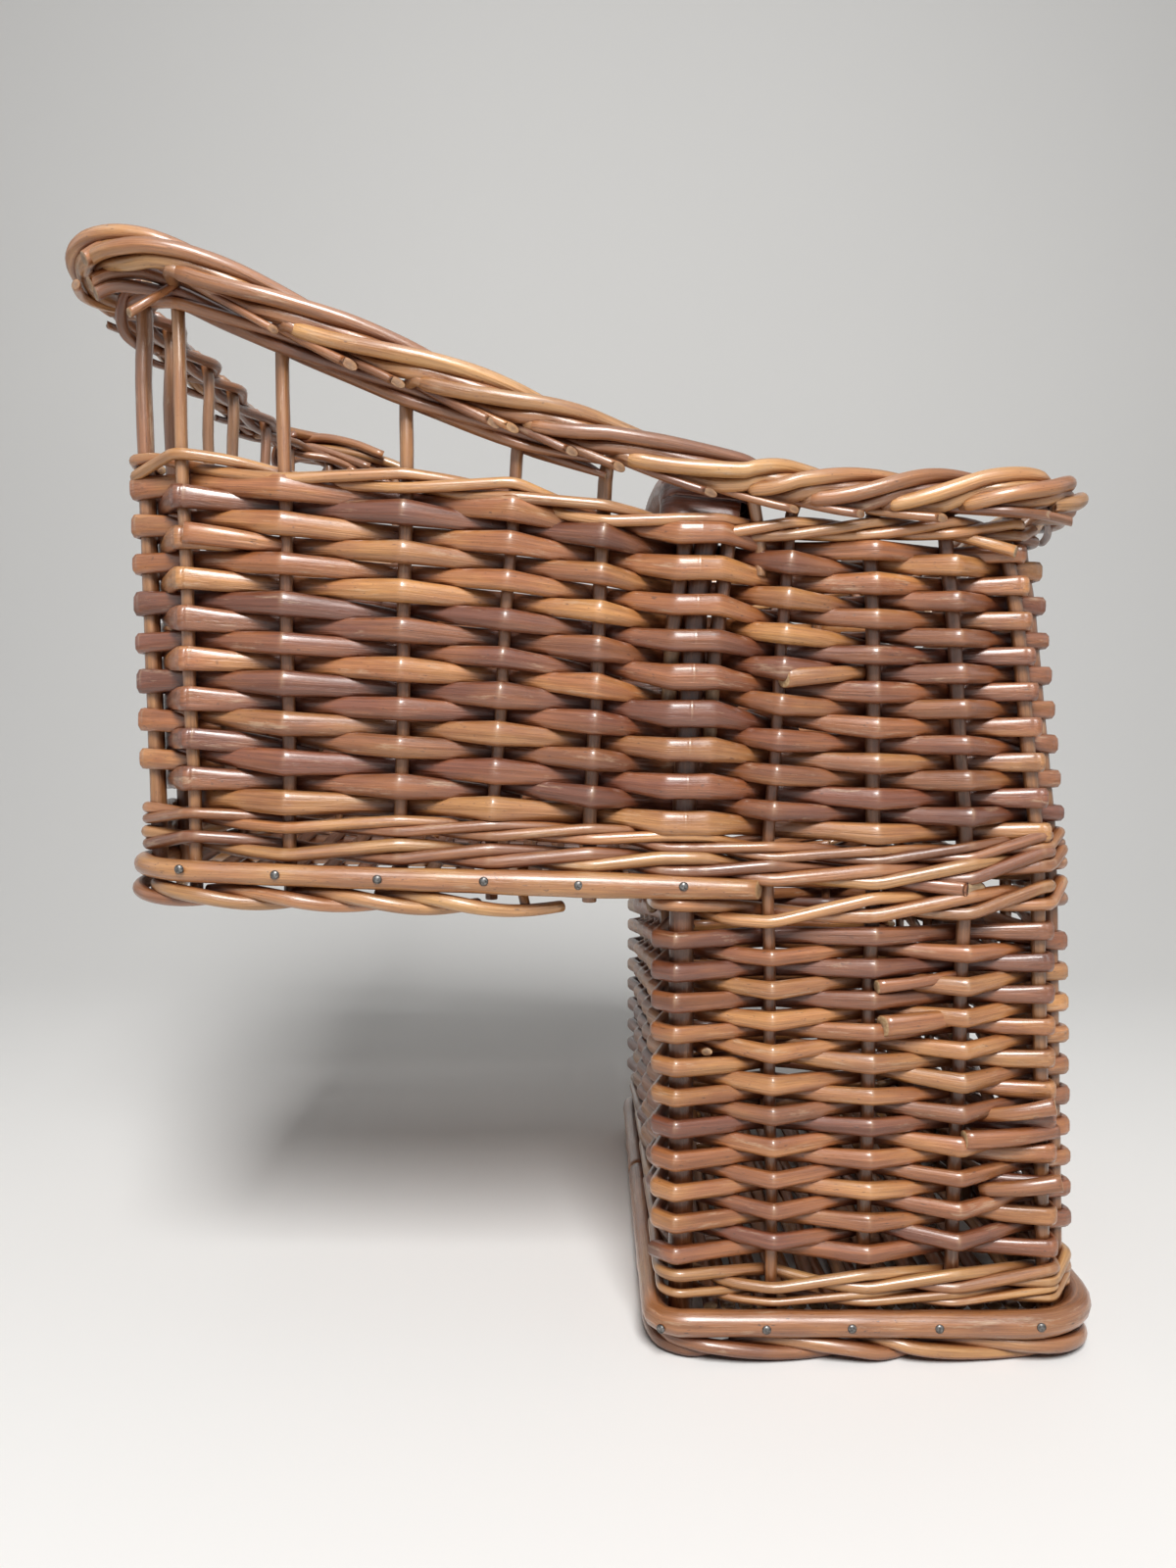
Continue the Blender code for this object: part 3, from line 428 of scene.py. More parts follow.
def end_cap(ring_points, middle, direction):
    """A cut end: a slightly smaller ring and a middle, pushed out by a hair."""
    inner = middle + (ring_points - middle) * 0.86 + direction * 0.0002
    centre = inner.mean(axis=0) + direction * 0.0001
    return np.vstack([inner, centre[None]])


def sweep(bundle, centre, out, high, deep, tint, kink_ridge_and_highlight=None, cut=None, sides=12,
          slants=(0.0, 0.0), square=0.0, pale=0.7):
    """A rod of oval section along a route; out is the way that its depth is measured."""
    centre = np.asarray(centre, float)
    count = len(centre)
    high = np.broadcast_to(high, (count,)).astype(float)
    deep = np.broadcast_to(deep, (count,)).astype(float)
    tangent = unit(np.gradient(centre, axis=0))
    out = np.broadcast_to(out, (count, 3))
    across = unit(out - (out * tangent).sum(1, keepdims=True) * tangent)
    up = np.cross(across, tangent)
    angle = np.linspace(0, 2 * math.pi, sides, endpoint=False)
    cos, sin = np.cos(angle), np.sin(angle)
    steps = np.linalg.norm(np.diff(centre, axis=0), axis=1)
    run = np.concatenate([[0], np.cumsum(steps)])
    wobble = 1 + 0.035 * np.sin(2 * angle + chance.uniform(0, 6))[None, :]
    wobble = wobble + 0.02 * np.sin(run * 190 + chance.uniform(0, 6))[:, None]
    square = np.broadcast_to(square, (count,)).astype(float)[:, None]
    wobble = wobble * (1 + square * 0.9 * (np.sin(2 * angle) ** 2)[None, :])
    ring = centre[:, None, :] + across[:, None, :] * (deep[:, None] * cos * wobble)[:, :, None]
    ring = ring + up[:, None, :] * (high[:, None] * sin * wobble)[:, :, None]
    marks = np.zeros((count, sides, 3))
    # The kink's ridge: the outer, upper side of the section is pushed out a hair, and the same mask
    # is stored in mark channel 1 for a painted highlight in the material.
    if kink_ridge_and_highlight is not None:
        kink_ridge_and_highlight = np.asarray(kink_ridge_and_highlight, float)
        ridge_and_highlight_mask = np.clip(cos, 0, 1) * np.clip(0.35 + 0.9 * sin, 0, 1)
        push = kink_ridge_and_highlight[:, None] * ridge_and_highlight_mask[None, :]
        ring = ring + across[:, None, :] * (0.0005 * push)[:, :, None]
        marks[:, :, 1] = push
    if cut is not None:
        marks[:, :, 0] = np.asarray(cut, float)[:, None] * (cos > 0.15)[None, :]
    start = chance.uniform(0, 3)
    lengths = (run + start)[:, None] + np.zeros(sides)[None, :]
    grain = np.stack([lengths, deep[:, None] * cos, high[:, None] * sin], axis=2)
    for end, slant in zip((0, -1), slants):
        if slant:
            lean = ((ring[end] - centre[end]) @ across[end]) * slant
            ring[end] = ring[end] + lean[:, None] * tangent[end]
    points = [ring.reshape(-1, 3)]
    grains = [grain.reshape(-1, 3)]
    markings = [marks.reshape(-1, 3)]
    rows = count - 1
    i = np.arange(rows)[:, None]
    j = np.arange(sides)[None, :]
    a = i * sides + j
    b = (i + 1) * sides + j
    c = (i + 1) * sides + (j + 1) % sides
    d = i * sides + (j + 1) % sides
    quads = np.stack([a, b, c, d], axis=2).reshape(-1, 4)
    fans = np.zeros((0, 3), int)
    total = count * sides
    for end, sign in ((0, -1), (-1, 1)):
        middle = ring[end].mean(axis=0)
        cap = end_cap(ring[end], middle, tangent[end] * sign)
        points.append(cap)
        local = np.vstack([grain[end], grain[end].mean(axis=0)[None]])
        grains.append(local)
        flags = np.zeros((sides + 1, 3))
        flags[:, 0] = pale
        flags[-1, 2] = 1
        markings.append(flags)
        edge = (0 if end == 0 else (count - 1) * sides) + np.arange(sides)
        inner = total + np.arange(sides)
        nexts = np.roll(np.arange(sides), -1)
        hub = np.full(sides, total + sides)
        if sign > 0:
            band = np.stack([edge, inner, inner[nexts], edge[nexts]], axis=1)
            fan = np.stack([inner, hub, inner[nexts]], axis=1)
        else:
            band = np.stack([edge, edge[nexts], inner[nexts], inner], axis=1)
            fan = np.stack([inner, inner[nexts], hub], axis=1)
        quads = np.vstack([quads, band])
        fans = np.vstack([fans, fan])
        total += sides + 1
    points = np.vstack(points)
    colour = np.broadcast_to(np.asarray(tint, float), (len(points), 3)).copy()
    bundle.add(points, np.vstack(grains), colour, np.vstack(markings), quads, fans)


BEND_TIMES = (0.18, 0.36, 0.5, 0.64, 0.82, 1.0)
COARSE_TIMES = (0.25, 0.5, 0.75, 1)


def rounded(points, bends, times=COARSE_TIMES, step=0.006):
    """Straight runs joined by short bends, and each sample's place among the points."""
    points = np.asarray(points, float)
    count = len(points)
    found, where = [points[0]], [0.0]

    def straight(end, end_where):
        start, start_where = found[-1], where[-1]
        length = np.linalg.norm(end - start)
        pieces = max(1, int(round(length / step)))
        for number in range(1, pieces + 1):
            share = number / pieces
            found.append(lerp(start, end, share))
            where.append(lerp(start_where, end_where, share))

    for i in range(1, count - 1):
        before, middle, after = points[i - 1], points[i], points[i + 1]
        length_a = np.linalg.norm(before - middle)
        length_b = np.linalg.norm(after - middle)
        share_a = min(bends[i] / max(length_a, 1e-9), 0.47)
        share_b = min(bends[i] / max(length_b, 1e-9), 0.47)
        start = lerp(middle, before, share_a)
        end = lerp(middle, after, share_b)
        straight(start, i - share_a)
        for t in times:
            point = (1 - t) ** 2 * start + 2 * t * (1 - t) * middle + t * t * end
            found.append(point)
            where.append(i - share_a * (1 - 2 * t) if t < 0.5 else i + share_b * (2 * t - 1))
    straight(points[-1], count - 1.0)
    return np.array(found), np.array(where)


def smooth_path(points, pieces=6):
    """Catmull-Rom curve through the points."""
    points = np.asarray(points, float)
    padded = np.vstack([2 * points[0] - points[1], points, 2 * points[-1] - points[-2]])
    found, where = [], []
    for i in range(1, len(padded) - 2):
        p0, p1, p2, p3 = padded[i - 1 : i + 3]
        for step in range(pieces):
            t = step / pieces
            a = 2 * p1 + (p2 - p0) * t
            b = (2 * p0 - 5 * p1 + 4 * p2 - p3) * t * t
            c = (-p0 + 3 * p1 - 3 * p2 + p3) * t * t * t
            found.append((a + b + c) / 2)
            where.append(i - 1 + t)
    found.append(points[-1])
    where.append(len(points) - 1.0)
    return np.array(found), np.array(where)


def mix_rows(where, values):
    values = np.asarray(values, float)
    places = np.arange(len(values))
    if values.ndim == 1:
        return np.interp(where, places, values)
    return np.stack([np.interp(where, places, column) for column in values.T], axis=1)


def tint_of(low=0.0, high=1.0):
    """Hue (0 red-brown, 1 golden), lightness and a seed for the rod's own grain."""
    return (chance.uniform(low, high), chance.uniform(0, 1), chance.uniform(0, 1))


# Weavers
def row_height(row, x):
    low, high = np.interp(x, *ROW_LOW), np.interp(x, *ROW_HIGH)
    if row <= UPPER_ROWS - 2:
        return lerp(low, high, row / (UPPER_ROWS - 2))
    top = np.interp(x, *ROW_TOP)
    return lerp(high, top, row - (UPPER_ROWS - 2))


def row_pitch(x):
    return (np.interp(x, *ROW_HIGH) - np.interp(x, *ROW_LOW)) / (UPPER_ROWS - 2)


def leg_row_height(row, x):
    top = LEG_ROW_TOP + LEG_ROW_SLOPE * max(0.0, x)
    return lerp(LEG_ROW_LOW, top, row / (LEG_ROWS - 1))


def leg_pitch(x):
    return (LEG_ROW_TOP - LEG_ROW_LOW) / (LEG_ROWS - 1)


def ramp_share(index, first, count):
    """How far a spiral has climbed to its next row: only along the last wall."""
    return max(0.0, (index - first) / (count - first))


DIPS = {"near_stake_6": 0.0016, "near_stake_8": 0.0014, "far_stake_6": 0.0016,
        "far_stake_8": 0.0014, "toe_stake_2": 0.0012, "toe_stake_4": 0.0012}


def leg_dip(place, side, row):
    return -DIPS.get(place.name, 0.0) * (1.0 if side > 0 else 0.4)


def upper_size(x):
    return np.interp(x, (-0.20, 0.0, 0.05, 0.09, 0.145), (1.07, 1.06, 1.0, 0.91, 0.87))


def no_dip(place, side, row):
    return 0.0


def even(size):
    return lambda x: size


def weave(bundles, stations, rows, height_of, pitch_of, dip_of, size_of, parity, ramp_from,
          tall, thick, hues, last_index):
    """A spiral of weavers, cut into rods that meet behind a stake on the inside."""
    count = len(stations)
    deep = thick / 2
    bend_push = 0.0006
    reach = reaches(stations, deep + bend_push, (height_of(0, 0), height_of(rows - 1, 0)))
    total = count * (rows - 1) + last_index + 1
    places = []
    for step in range(total):
        place = stations[step % count]
        row = step // count
        level = row + ramp_share(step % count, ramp_from, count)
        x = place.plan[1].x
        side = 1 if (step + parity) % 2 == 0 else -1
        z = height_of(level, x) + dip_of(place, side, row)
        z += chance.uniform(-0.0003, 0.0003)
        places.append((place, z, side, pitch_of(x), size_of(x)))
    begin = 0
    while begin < total - 1:
        length = int(chance.integers(9, 19))
        end = min(begin + length, total - 1)
        while end < total - 1 and places[end][2] > 0:
            end += 1
        if total - 1 - end < 6:
            end = total - 1
        one_weaver(bundles, places[begin : end + 1], reach, tall, deep, hues,
                   begin > 0, end < total - 1)
        begin = end


def one_weaver(bundles, places, reach, tall, deep, hues, joins_before, joins_after):
    size = chance.uniform(0.94, 1.06)
    stops = []
    tips = (1.05, 0.95) if chance.uniform() < 0.5 else (0.95, 1.05)
    for number, (place, z, side, pitch, local) in enumerate(places):
        normal = np.array((place.normal.x, place.normal.y, 0.0))
        at_join = (number == 0 and joins_before) or (number == len(places) - 1 and joins_after)
        shift = 0.0
        if at_join:
            shift = 0.0019 if number == 0 else -0.0019
        butt = lerp(*tips, number / max(1, len(places) - 1))
        high = size * butt * local * tall / 2 * (1.0 if side > 0 else 0.93)
        turning = place.kind in TURNS
        if turning and side > 0:
            high *= 0.93
        if at_join:
            high *= 0.56
        found = crossing(place, z + shift, side, reach[place.name, side])
        for order, point in enumerate(found):
            out = normal
            if turning and side > 0:
                out = unit(np.array(point - place.at(z + shift)))
            mid = high
            if order == len(found) - 1:
                mid = 0.5 * pitch * (1.07 + 0.3 * (size * butt - 1))
            # Painted highlight: a pale mark, with a small ridge, at the outside kink over each
            # stake
            kink_ridge_and_highlight = 1.0 if side > 0 and order == len(found) // 2 else 0.0
            corner_turn = place.kind == "corner" and side > 0
            bend = 0.0012 if corner_turn else 0.0019 if side > 0 else 0.0065
            square = 0.16 if turning and side > 0 else 0.05
            depth = CORNER_DEEP * 1.1 if corner_turn else deep
            stops.append([np.array(point), out, high, mid, kink_ridge_and_highlight, bend, square, depth])
    for joined, end, beside in ((joins_before, 0, 1), (joins_after, -1, -2)):
        if not joined:
            continue
        point, out, high = stops[end][:3]
        way = unit(point - stops[beside][0])
        tail = [point + way * 0.011 - out * 0.0012, out, high * 0.9, high * 0.9,
                0.0, 0.004, 0.0, deep * 0.8]
        if end == 0:
            stops.insert(0, tail)
        else:
            stops[-1][3] = high
            stops.append(tail)
    points, outs, highs, mids, kink_ridges_and_highlights, bends, squares, deeps = zip(*stops)
    path, where = rounded(points, bends, BEND_TIMES)
    nearest = np.rint(where).astype(int)
    away = np.abs(where - nearest)
    segment = np.minimum(np.floor(where).astype(int), len(points) - 1)
    middle = np.array(mids)[segment]
    ends = np.array(highs)[nearest]
    high = middle + (ends - middle) * (1 - 2 * np.minimum(away, 0.5)) ** 1.15
    lift = 0.92 + 0.08 * np.cos(math.pi * away) ** 2
    out = unit(mix_rows(where, outs))
    # The painted highlight fades out along the rod away from the kink.
    kink_ridge_and_highlight = np.array(kink_ridges_and_highlights)[nearest] * np.exp(-((away / 0.013) ** 2))
    kink_ridge_and_highlight = kink_ridge_and_highlight * chance.uniform(0.3, 1.0)
    square = mix_rows(where, squares)
    near_stop = np.clip(1 - away / 0.35, 0, 1)
    thick = lerp(deep, np.array(deeps)[nearest], smooth(near_stop))
    wave = 1 + 0.03 * np.sin(where * 1.7 + chance.uniform(0, 6))
    bundle = bundles[int(chance.integers(0, len(bundles)))]
    slants = (chance.uniform(-0.8, 0.8), chance.uniform(-0.8, 0.8))
    sweep(bundle, path, out, high * wave, thick * lift * wave, tint_of(*hues), kink_ridge_and_highlight,
          slants=slants, square=square)


# Wales
def wale_stops(stations, radius, swing_of, middle_of):
    """The wale's route: at each station, and half-way to the next, low, then high, then in."""
    count = len(stations)
    reach = reaches(stations, radius + 0.0003, (middle_of(0),))
    stops = []
    for step in range(3 * count):
        place, after = stations[step % count], stations[(step + 1) % count]
        phase = step % 3
        side = -1 if phase == 2 else 1
        x = place.plan[1].x
        swing = swing_of(x)
        z = middle_of(x) + (-swing, swing, 0.0)[phase] + chance.uniform(-0.0003, 0.0003)
        normal = np.array((place.normal.x, place.normal.y, 0.0))
        for point in crossing(place, z, side, reach[place.name, side]):
            out = normal
            if place.kind in TURNS and side > 0:
                out = unit(np.array(point - place.at(z)))
            stops.append((np.array(point), out, 0.0045, phase == 2))
        if phase:
            level = (0.0, 0.8, -0.8)[phase]
            half = (np.array(place.at(z)) + np.array(after.at(z))) / 2
            out = unit(normal + np.array((after.normal.x, after.normal.y, 0.0)))
            half = half + out * 0.30 * reach[place.name, 1]
            half[2] = middle_of(half[0]) + level * swing
            stops.append((half, out, 0.008, False))
    return stops


def wale(bundle, stations, radius, swing_of, middle_of, hues):
    """Three rods, each in front of two stations and behind the next, rising as it goes."""
    stops = wale_stops(stations, radius, swing_of, middle_of)
    inside = [number for number, stop in enumerate(stops) if stop[3]]
    begin = inside[0]
    while begin < inside[-1]:
        later = [number for number in inside if number >= begin + int(chance.integers(14, 30))]
        end = later[0] if later and inside[-1] - later[0] > 8 else inside[-1]
        section = stops[begin : end + 1]
        path, where = rounded([stop[0] for stop in section], [stop[2] for stop in section])
        size = chance.uniform(0.94, 1.07)
        nearest = np.minimum(where, where[-1] - where)
        taper = np.minimum(1, 0.75 + 0.25 * nearest / 1.5)
        out = unit(mix_rows(where, [stop[1] for stop in section]))
        away = np.abs(where - np.rint(where))
        # Painted highlight at the wale's outside kinks, as on the weavers.
        kinked = np.array([stop[2] < 0.005 and not stop[3] for stop in section], float)
        kink_ridge_and_highlight = 0.5 * kinked[np.rint(where).astype(int)] * np.exp(-((away / 0.02) ** 2))
        sweep(bundle, path, out, radius * size * taper, radius * size * taper,
              tint_of(*hues), kink_ridge_and_highlight, sides=12)
        begin = end


# Stakes and border
ROPE_OUT = 0.0102
ROPE_OUT_RISE = 0.0025
ROPE_TURN_RADIUS = 0.0057
ROPE_TURN_RISE = 0.0008
ROPE_LIFT = 0.0004
ROPE_LAY = 3.8
ROPE_STEPS = 5
CORE_STEPS = 8
END_OUT = 0.0070
TOE_OUT = 0.0080
END_LIFT = 0.0040
border_rod_rim_share = 0.086
border_rod_foot_share = 0.141


def end_share(x):
    return float(smooth((-0.135 - x) / 0.085))


def toe_share(x):
    return float(smooth((x - 0.105) / 0.040))


def rope_centre(x):
    """Height of the border's middle and how far it stands out of the stakes."""
    share = rise_share(x)
    height = rope_height(x) + ROPE_LIFT + 0.0005 * share + END_LIFT * end_share(x)
    out = ROPE_OUT + ROPE_OUT_RISE * share + END_OUT * end_share(x) + TOE_OUT * toe_share(x)
    return height, out


def rope_turn(x):
    return (ROPE_TURN_RADIUS + ROPE_TURN_RISE * rise_share(x)) * (1 - 0.16 * end_share(x))


def rope_point(run, phase, turn=None):
    axis, normal = RINGS[2].at(run)
    height, out = rope_centre(axis.x)
    turn = rope_turn(axis.x) if turn is None else turn
    place = axis + normal * (out + turn * math.cos(phase))
    height += turn * math.sin(phase)
    return np.array((place.x, place.y, height)), np.array((normal.x, normal.y, 0.0))


def corner_place(place):
    angle = math.atan2(place.normal.y, place.normal.x) % (2 * math.pi)
    quarter = math.pi / 2
    number = int(angle // quarter)
    return {0: 3, 1: 5, 2: 7, 3: 1}[number], angle - number * quarter


def rope_runs():
    ring = RINGS[2]
    runs = []
    for place in UPPER:
        point = place.plan[2]
        if place.kind == "bow":
            x = point.x - place.normal.y * border_rod_rim_share * LEG_LENGTH
            runs.append(ring.run_of(0 if point.y < 0 else 4, x))
        elif place.kind == "corner":
            runs.append(ring.run_of(*corner_place(place)))
        elif place.normal.y == -1:
            runs.append(ring.run_of(0, point.x))
        elif place.normal.x == 1:
            runs.append(ring.run_of(2, point.y))
        elif place.normal.y == 1:
            runs.append(ring.run_of(4, point.x))
        else:
            runs.append(ring.run_of(6, point.y))
    return runs


ROPE_RUNS = rope_runs()


def run_after(index, spacings):
    count = len(ROPE_RUNS)
    whole = int(math.floor(spacings))
    a = ROPE_RUNS[(index + whole) % count]
    b = ROPE_RUNS[(index + whole + 1) % count]
    return a + ((b - a) % RINGS[2].total) * (spacings - whole)


def border_tail(index):
    """A stake's top in the border: under, outside, over and inside, to its cut tip."""
    points, outs = [], []
    steps = round(ROPE_LAY * ROPE_STEPS)
    for step in range(1, steps + 1):
        spacings = step / ROPE_STEPS
        phase = -math.pi / 2 + 2 * math.pi * step / steps
        point, out = rope_point(run_after(index, spacings), phase)
        points.append(point)
        outs.append(out)
    for step in range(1, CORE_STEPS + 1):
        run = run_after(index, (steps + step) / ROPE_STEPS)
        turn = lerp(rope_turn(points[-1][0]), 0.0012, min(1.0, step / 3))
        point, out = rope_point(run, -math.pi / 2 + 0.4 * step, turn)
        points.append(point)
        outs.append(out)
    return points, outs


def neck_height(place):
    x = place.plan[2].x
    return rope_centre(x)[0] - rope_turn(x) - BORDER_RADIUS - 0.0012


FOOT_TOP = 0.0100


def make_stakes():
    stakes = Bundle("stakes")
    border = Bundle("rim_border")
    for index, place in enumerate(UPPER):
        normal = np.array((place.normal.x, place.normal.y, 0.0))
        tail, outs = border_tail(index)
        if place.kind == "bow":
            x = place.plan[2].x - place.normal.y * border_rod_foot_share * LEG_LENGTH
            foot = np.interp(x, *TOP_WALE) - 0.018
            points = [np.array((x, place.normal.y * HALF_WIDTH, foot))]
            points.append(np.array((x, place.normal.y * HALF_WIDTH, foot + 0.012)))
        else:
            foot = FOOT_TOP - 0.004 if place in LEG else shelf_line(place.plan[0].x) - 0.008
            points = [np.array(place.at(foot))]
            height = foot + 0.03
            top = neck_height(place)
            while height < top - 0.02:
                points.append(np.array(place.at(height)))
                height += 0.03
            points.append(np.array(place.at(top)))
        head, first_out = rope_point(ROPE_RUNS[index] + 0.004, -math.pi / 2)
        lead = len(points)
        stem_points = points + [head, tail[0]]
        stem, where = smooth_path(stem_points, 4)
        radius = STAKE_RADIUS * chance.uniform(0.95, 1.08)
        if place.name == "end_stake_6":
            radius *= 1.12
        grow = smooth((where - lead + 1) / 1.5)
        radii = lerp(radius, 0.0026, grow)
        sway = 0.0003 * np.sin(where * 2.1 + chance.uniform(0, 6))
        sway[:2] = 0
        along = np.array((-normal[1], normal[0], 0.0))
        stem = stem + along[None, :] * (sway * (1 - grow))[:, None]
        sweep(stakes, stem, normal, radii, radii, tint_of(0.35, 0.8), sides=12)
        path, where = smooth_path([head] + tail, 3)
        ends = np.minimum(1, 0.35 + where / 1.6)
        last = where[-1]
        fade = np.minimum(1, 0.80 + 0.2 * (last - where) / 4)
        radii = BORDER_RADIUS * ends * fade * chance.uniform(0.95, 1.06)
        out = unit(mix_rows(where, [first_out] + outs))
        sweep(border, path, out, radii, radii, tint_of(0.25, 0.95), sides=14,
              slants=(0, chance.uniform(0.6, 1.4)), pale=0.5)
    for place in LEG:
        if not place.name.startswith("riser"):
            continue
        top = shelf_line(0) - FRAME_RADIUS + 0.002
        heights = np.linspace(FOOT_TOP - 0.004, top, 7)
        path = np.array([place.at(height) for height in heights])
        path[1:-1, 1] += chance.uniform(-0.0004, 0.0004, 5)
        sweep(stakes, path, (-1, 0, 0), STAKE_RADIUS, STAKE_RADIUS, tint_of(0.35, 0.8))
    return stakes, border


def rim_wale_stations():
    names = [place.name for place in UPPER]
    near, far = names.index("near_stake_5"), names.index("far_stake_5")
    return UPPER[far:] + UPPER[: near + 1]


def make_rim_wale():
    """Darker rods bind the stakes under the border round the shelf's end."""
    bundle = Bundle("rim_wale")
    stations = rim_wale_stations()
    radius, swing = 0.0026, 0.0026
    reach = reaches(UPPER, radius + 0.0004, (RIM_LOW, RIM_LOW + RIM_RISE))
    for start in range(3):
        points, outs = [], []
        for index, place in enumerate(stations):
            phase = (index + start) % 3
            side = -1 if phase == 2 else 1
            height = neck_height(place) - 0.0010 + (-swing, swing, 0.0)[phase]
            points.append(np.array(place.offset(height, side * reach[place.name, side])))
            outs.append(np.array((place.normal.x, place.normal.y, 0.0)))
            after = stations[min(index + 1, len(stations) - 1)]
            if phase and after is not place:
                half = (np.array(place.at(height)) + np.array(after.at(height))) / 2
                out = unit(outs[-1] + np.array((after.normal.x, after.normal.y, 0.0)))
                middle = (neck_height(place) + neck_height(after)) / 2 - 0.0010
                half = half + out * 0.45 * reach[place.name, 1]
                half[2] = middle + (0.0, 0.8, -0.8)[phase] * swing
                points.append(half)
                outs.append(out)
        path, where = rounded(points, [0.008] * len(points))
        taper = np.minimum(1, 0.5 + 0.5 * np.minimum(where, where[-1] - where) / 1.5)
        out = unit(mix_rows(where, outs))
        sweep(bundle, path, out, radius * taper, radius * taper, tint_of(0.0, 0.25), sides=12)
    return bundle


TIPS = (-0.160, -0.131, -0.1125, -0.0753, -0.068, -0.045, -0.0264, 0.0092, 0.042, 0.068,
        0.100, 0.132)


def tip_runs():
    """Where the border's cut tips show under it, seen on the near wall and alike elsewhere."""
    ring = RINGS[2]
    runs = [ring.run_of(0, x) for x in TIPS] + [ring.run_of(4, x) for x in TIPS]
    runs += [ring.run_of(1, 0.9), ring.run_of(3, 0.4), ring.run_of(5, 0.8), ring.run_of(7, 0.5)]
    runs += [ring.run_of(2, y) for y in (-0.085, -0.03, 0.03, 0.085)]
    return runs + [ring.run_of(6, y) for y in (-0.09, -0.04, 0.01, 0.06, 0.10)]


def make_tips(bundle):
    """Ends of the stakes' tops, drawn back under the border and cut off aslant."""
    for run in tip_runs():
        long = chance.uniform(0.026, 0.034)
        drop = chance.uniform(-0.0008, 0.0010)
        points, outs = [], []
        for share, out_by, down in ((0.0, -0.0035, 0.0060), (0.35, 0.0005, 0.0080),
                                    (0.7, 0.0035, 0.0096), (1.0, 0.0050, 0.0106)):
            axis, normal = RINGS[2].at(run - long * (1 - share))
            height, out = rope_centre(axis.x)
            place = axis + normal * (out + out_by)
            points.append((place.x, place.y, height - down - drop))
            outs.append((normal.x, normal.y, 0.0))
        path, where = smooth_path(points, 5)
        radius = chance.uniform(0.0015, 0.0020)
        sweep(bundle, path, unit(mix_rows(where, outs)), radius, radius, tint_of(0.0, 0.5),
              sides=14, slants=(0, chance.uniform(-1.7, -1.0)), pale=0.35)


# Handle
HANDLE_BEND_RADIUS = 0.020
HANDLE_BEND_HEIGHT = 0.3385
HANDLE_ARCH_RISE = 0.012
LINER_LENGTH_LEFT = 0.078
LINER_LENGTH_RIGHT = 0.094


def handle_half(y, flat_x, bend_steps=10, arch_steps=10):
    radius = HANDLE_BEND_RADIUS + y - BOW_Y
    centre_y = radius - y
    slope = math.atan(2 * HANDLE_ARCH_RISE / -centre_y)
    points = []
    for step in range(bend_steps + 1):
        angle = (math.pi / 2 - slope) * step / bend_steps
        across = centre_y - radius * math.cos(angle)
        height = HANDLE_BEND_HEIGHT + radius * math.sin(angle)
        points.append((flat_x, across, height))
    start = points[-1]
    for step in range(1, arch_steps + 1):
        share = step / arch_steps
        rise = HANDLE_ARCH_RISE * share * (2 - share)
        points.append((flat_x, start[1] * (1 - share), start[2] + rise))
    return np.array(points)


def both_halves(half):
    mirrored = half[::-1].copy()
    mirrored[:, 1] *= -1
    return np.vstack([half, mirrored[1:]])


def handle_x(height):
    return UPPER[INDEX["near_bow"]].at(height).x + 0.0035 * smooth((height - 0.315) / 0.02)


def arch_frame(path):
    """For a handle rod: out of the basket on the legs, upwards along the arch."""
    tangent = unit(np.gradient(path, axis=0))
    return np.cross(tangent, np.array((1.0, 0, 0)))


def make_handle():
    rods = Bundle("handle_rods")
    top_x = handle_x(HANDLE_BEND_HEIGHT)
    arch = handle_half(BOW_Y, top_x)
    heights = [FOOT_TOP - 0.002, 0.05, 0.10, 0.15, 0.20, 0.24, 0.28, 0.31]
    feet = np.array([(handle_x(h) if h > WAIST_HEIGHT else 0.0, -BOW_Y, h) for h in heights])
    path = both_halves(np.vstack([feet, arch]))
    sweep(rods, path, -arch_frame(path), BOW_RADIUS, BOW_RADIUS, tint_of(0.3, 0.4), sides=16)
    liners = ((-1, LINER_LENGTH_LEFT, 0.034), (1, LINER_LENGTH_RIGHT, 0.039))
    for step, length, slype in liners:
        foot = HANDLE_BEND_HEIGHT - length
        heights = list(np.linspace(foot, foot + slype, 6)) + [foot + slype + 0.004]
        low = []
        for number, height in enumerate(heights):
            x = handle_x(height) + step * LINER_SPREAD
            share = min(1.0, number / 5)
            low.append((x, -LINER_Y + LINER_RADIUS * 0.72 * (1 - share), height))
        half = np.vstack([low, handle_half(LINER_Y, top_x + step * LINER_SPREAD)])
        path = both_halves(half)
        count = len(path)
        ends = np.minimum(np.arange(count), np.arange(count)[::-1]) / 5
        thin = np.clip(ends, 0, 1)
        deep = LINER_RADIUS * lerp(0.26, 1.0, thin)
        high = LINER_RADIUS * np.clip(0.55 + 1.8 * thin, 0, 1)
        cut = (ends < 0.9).astype(float)
        sweep(rods, path, -arch_frame(path), high, deep, tint_of(0.45, 0.6), cut=cut, sides=16)
    return rods


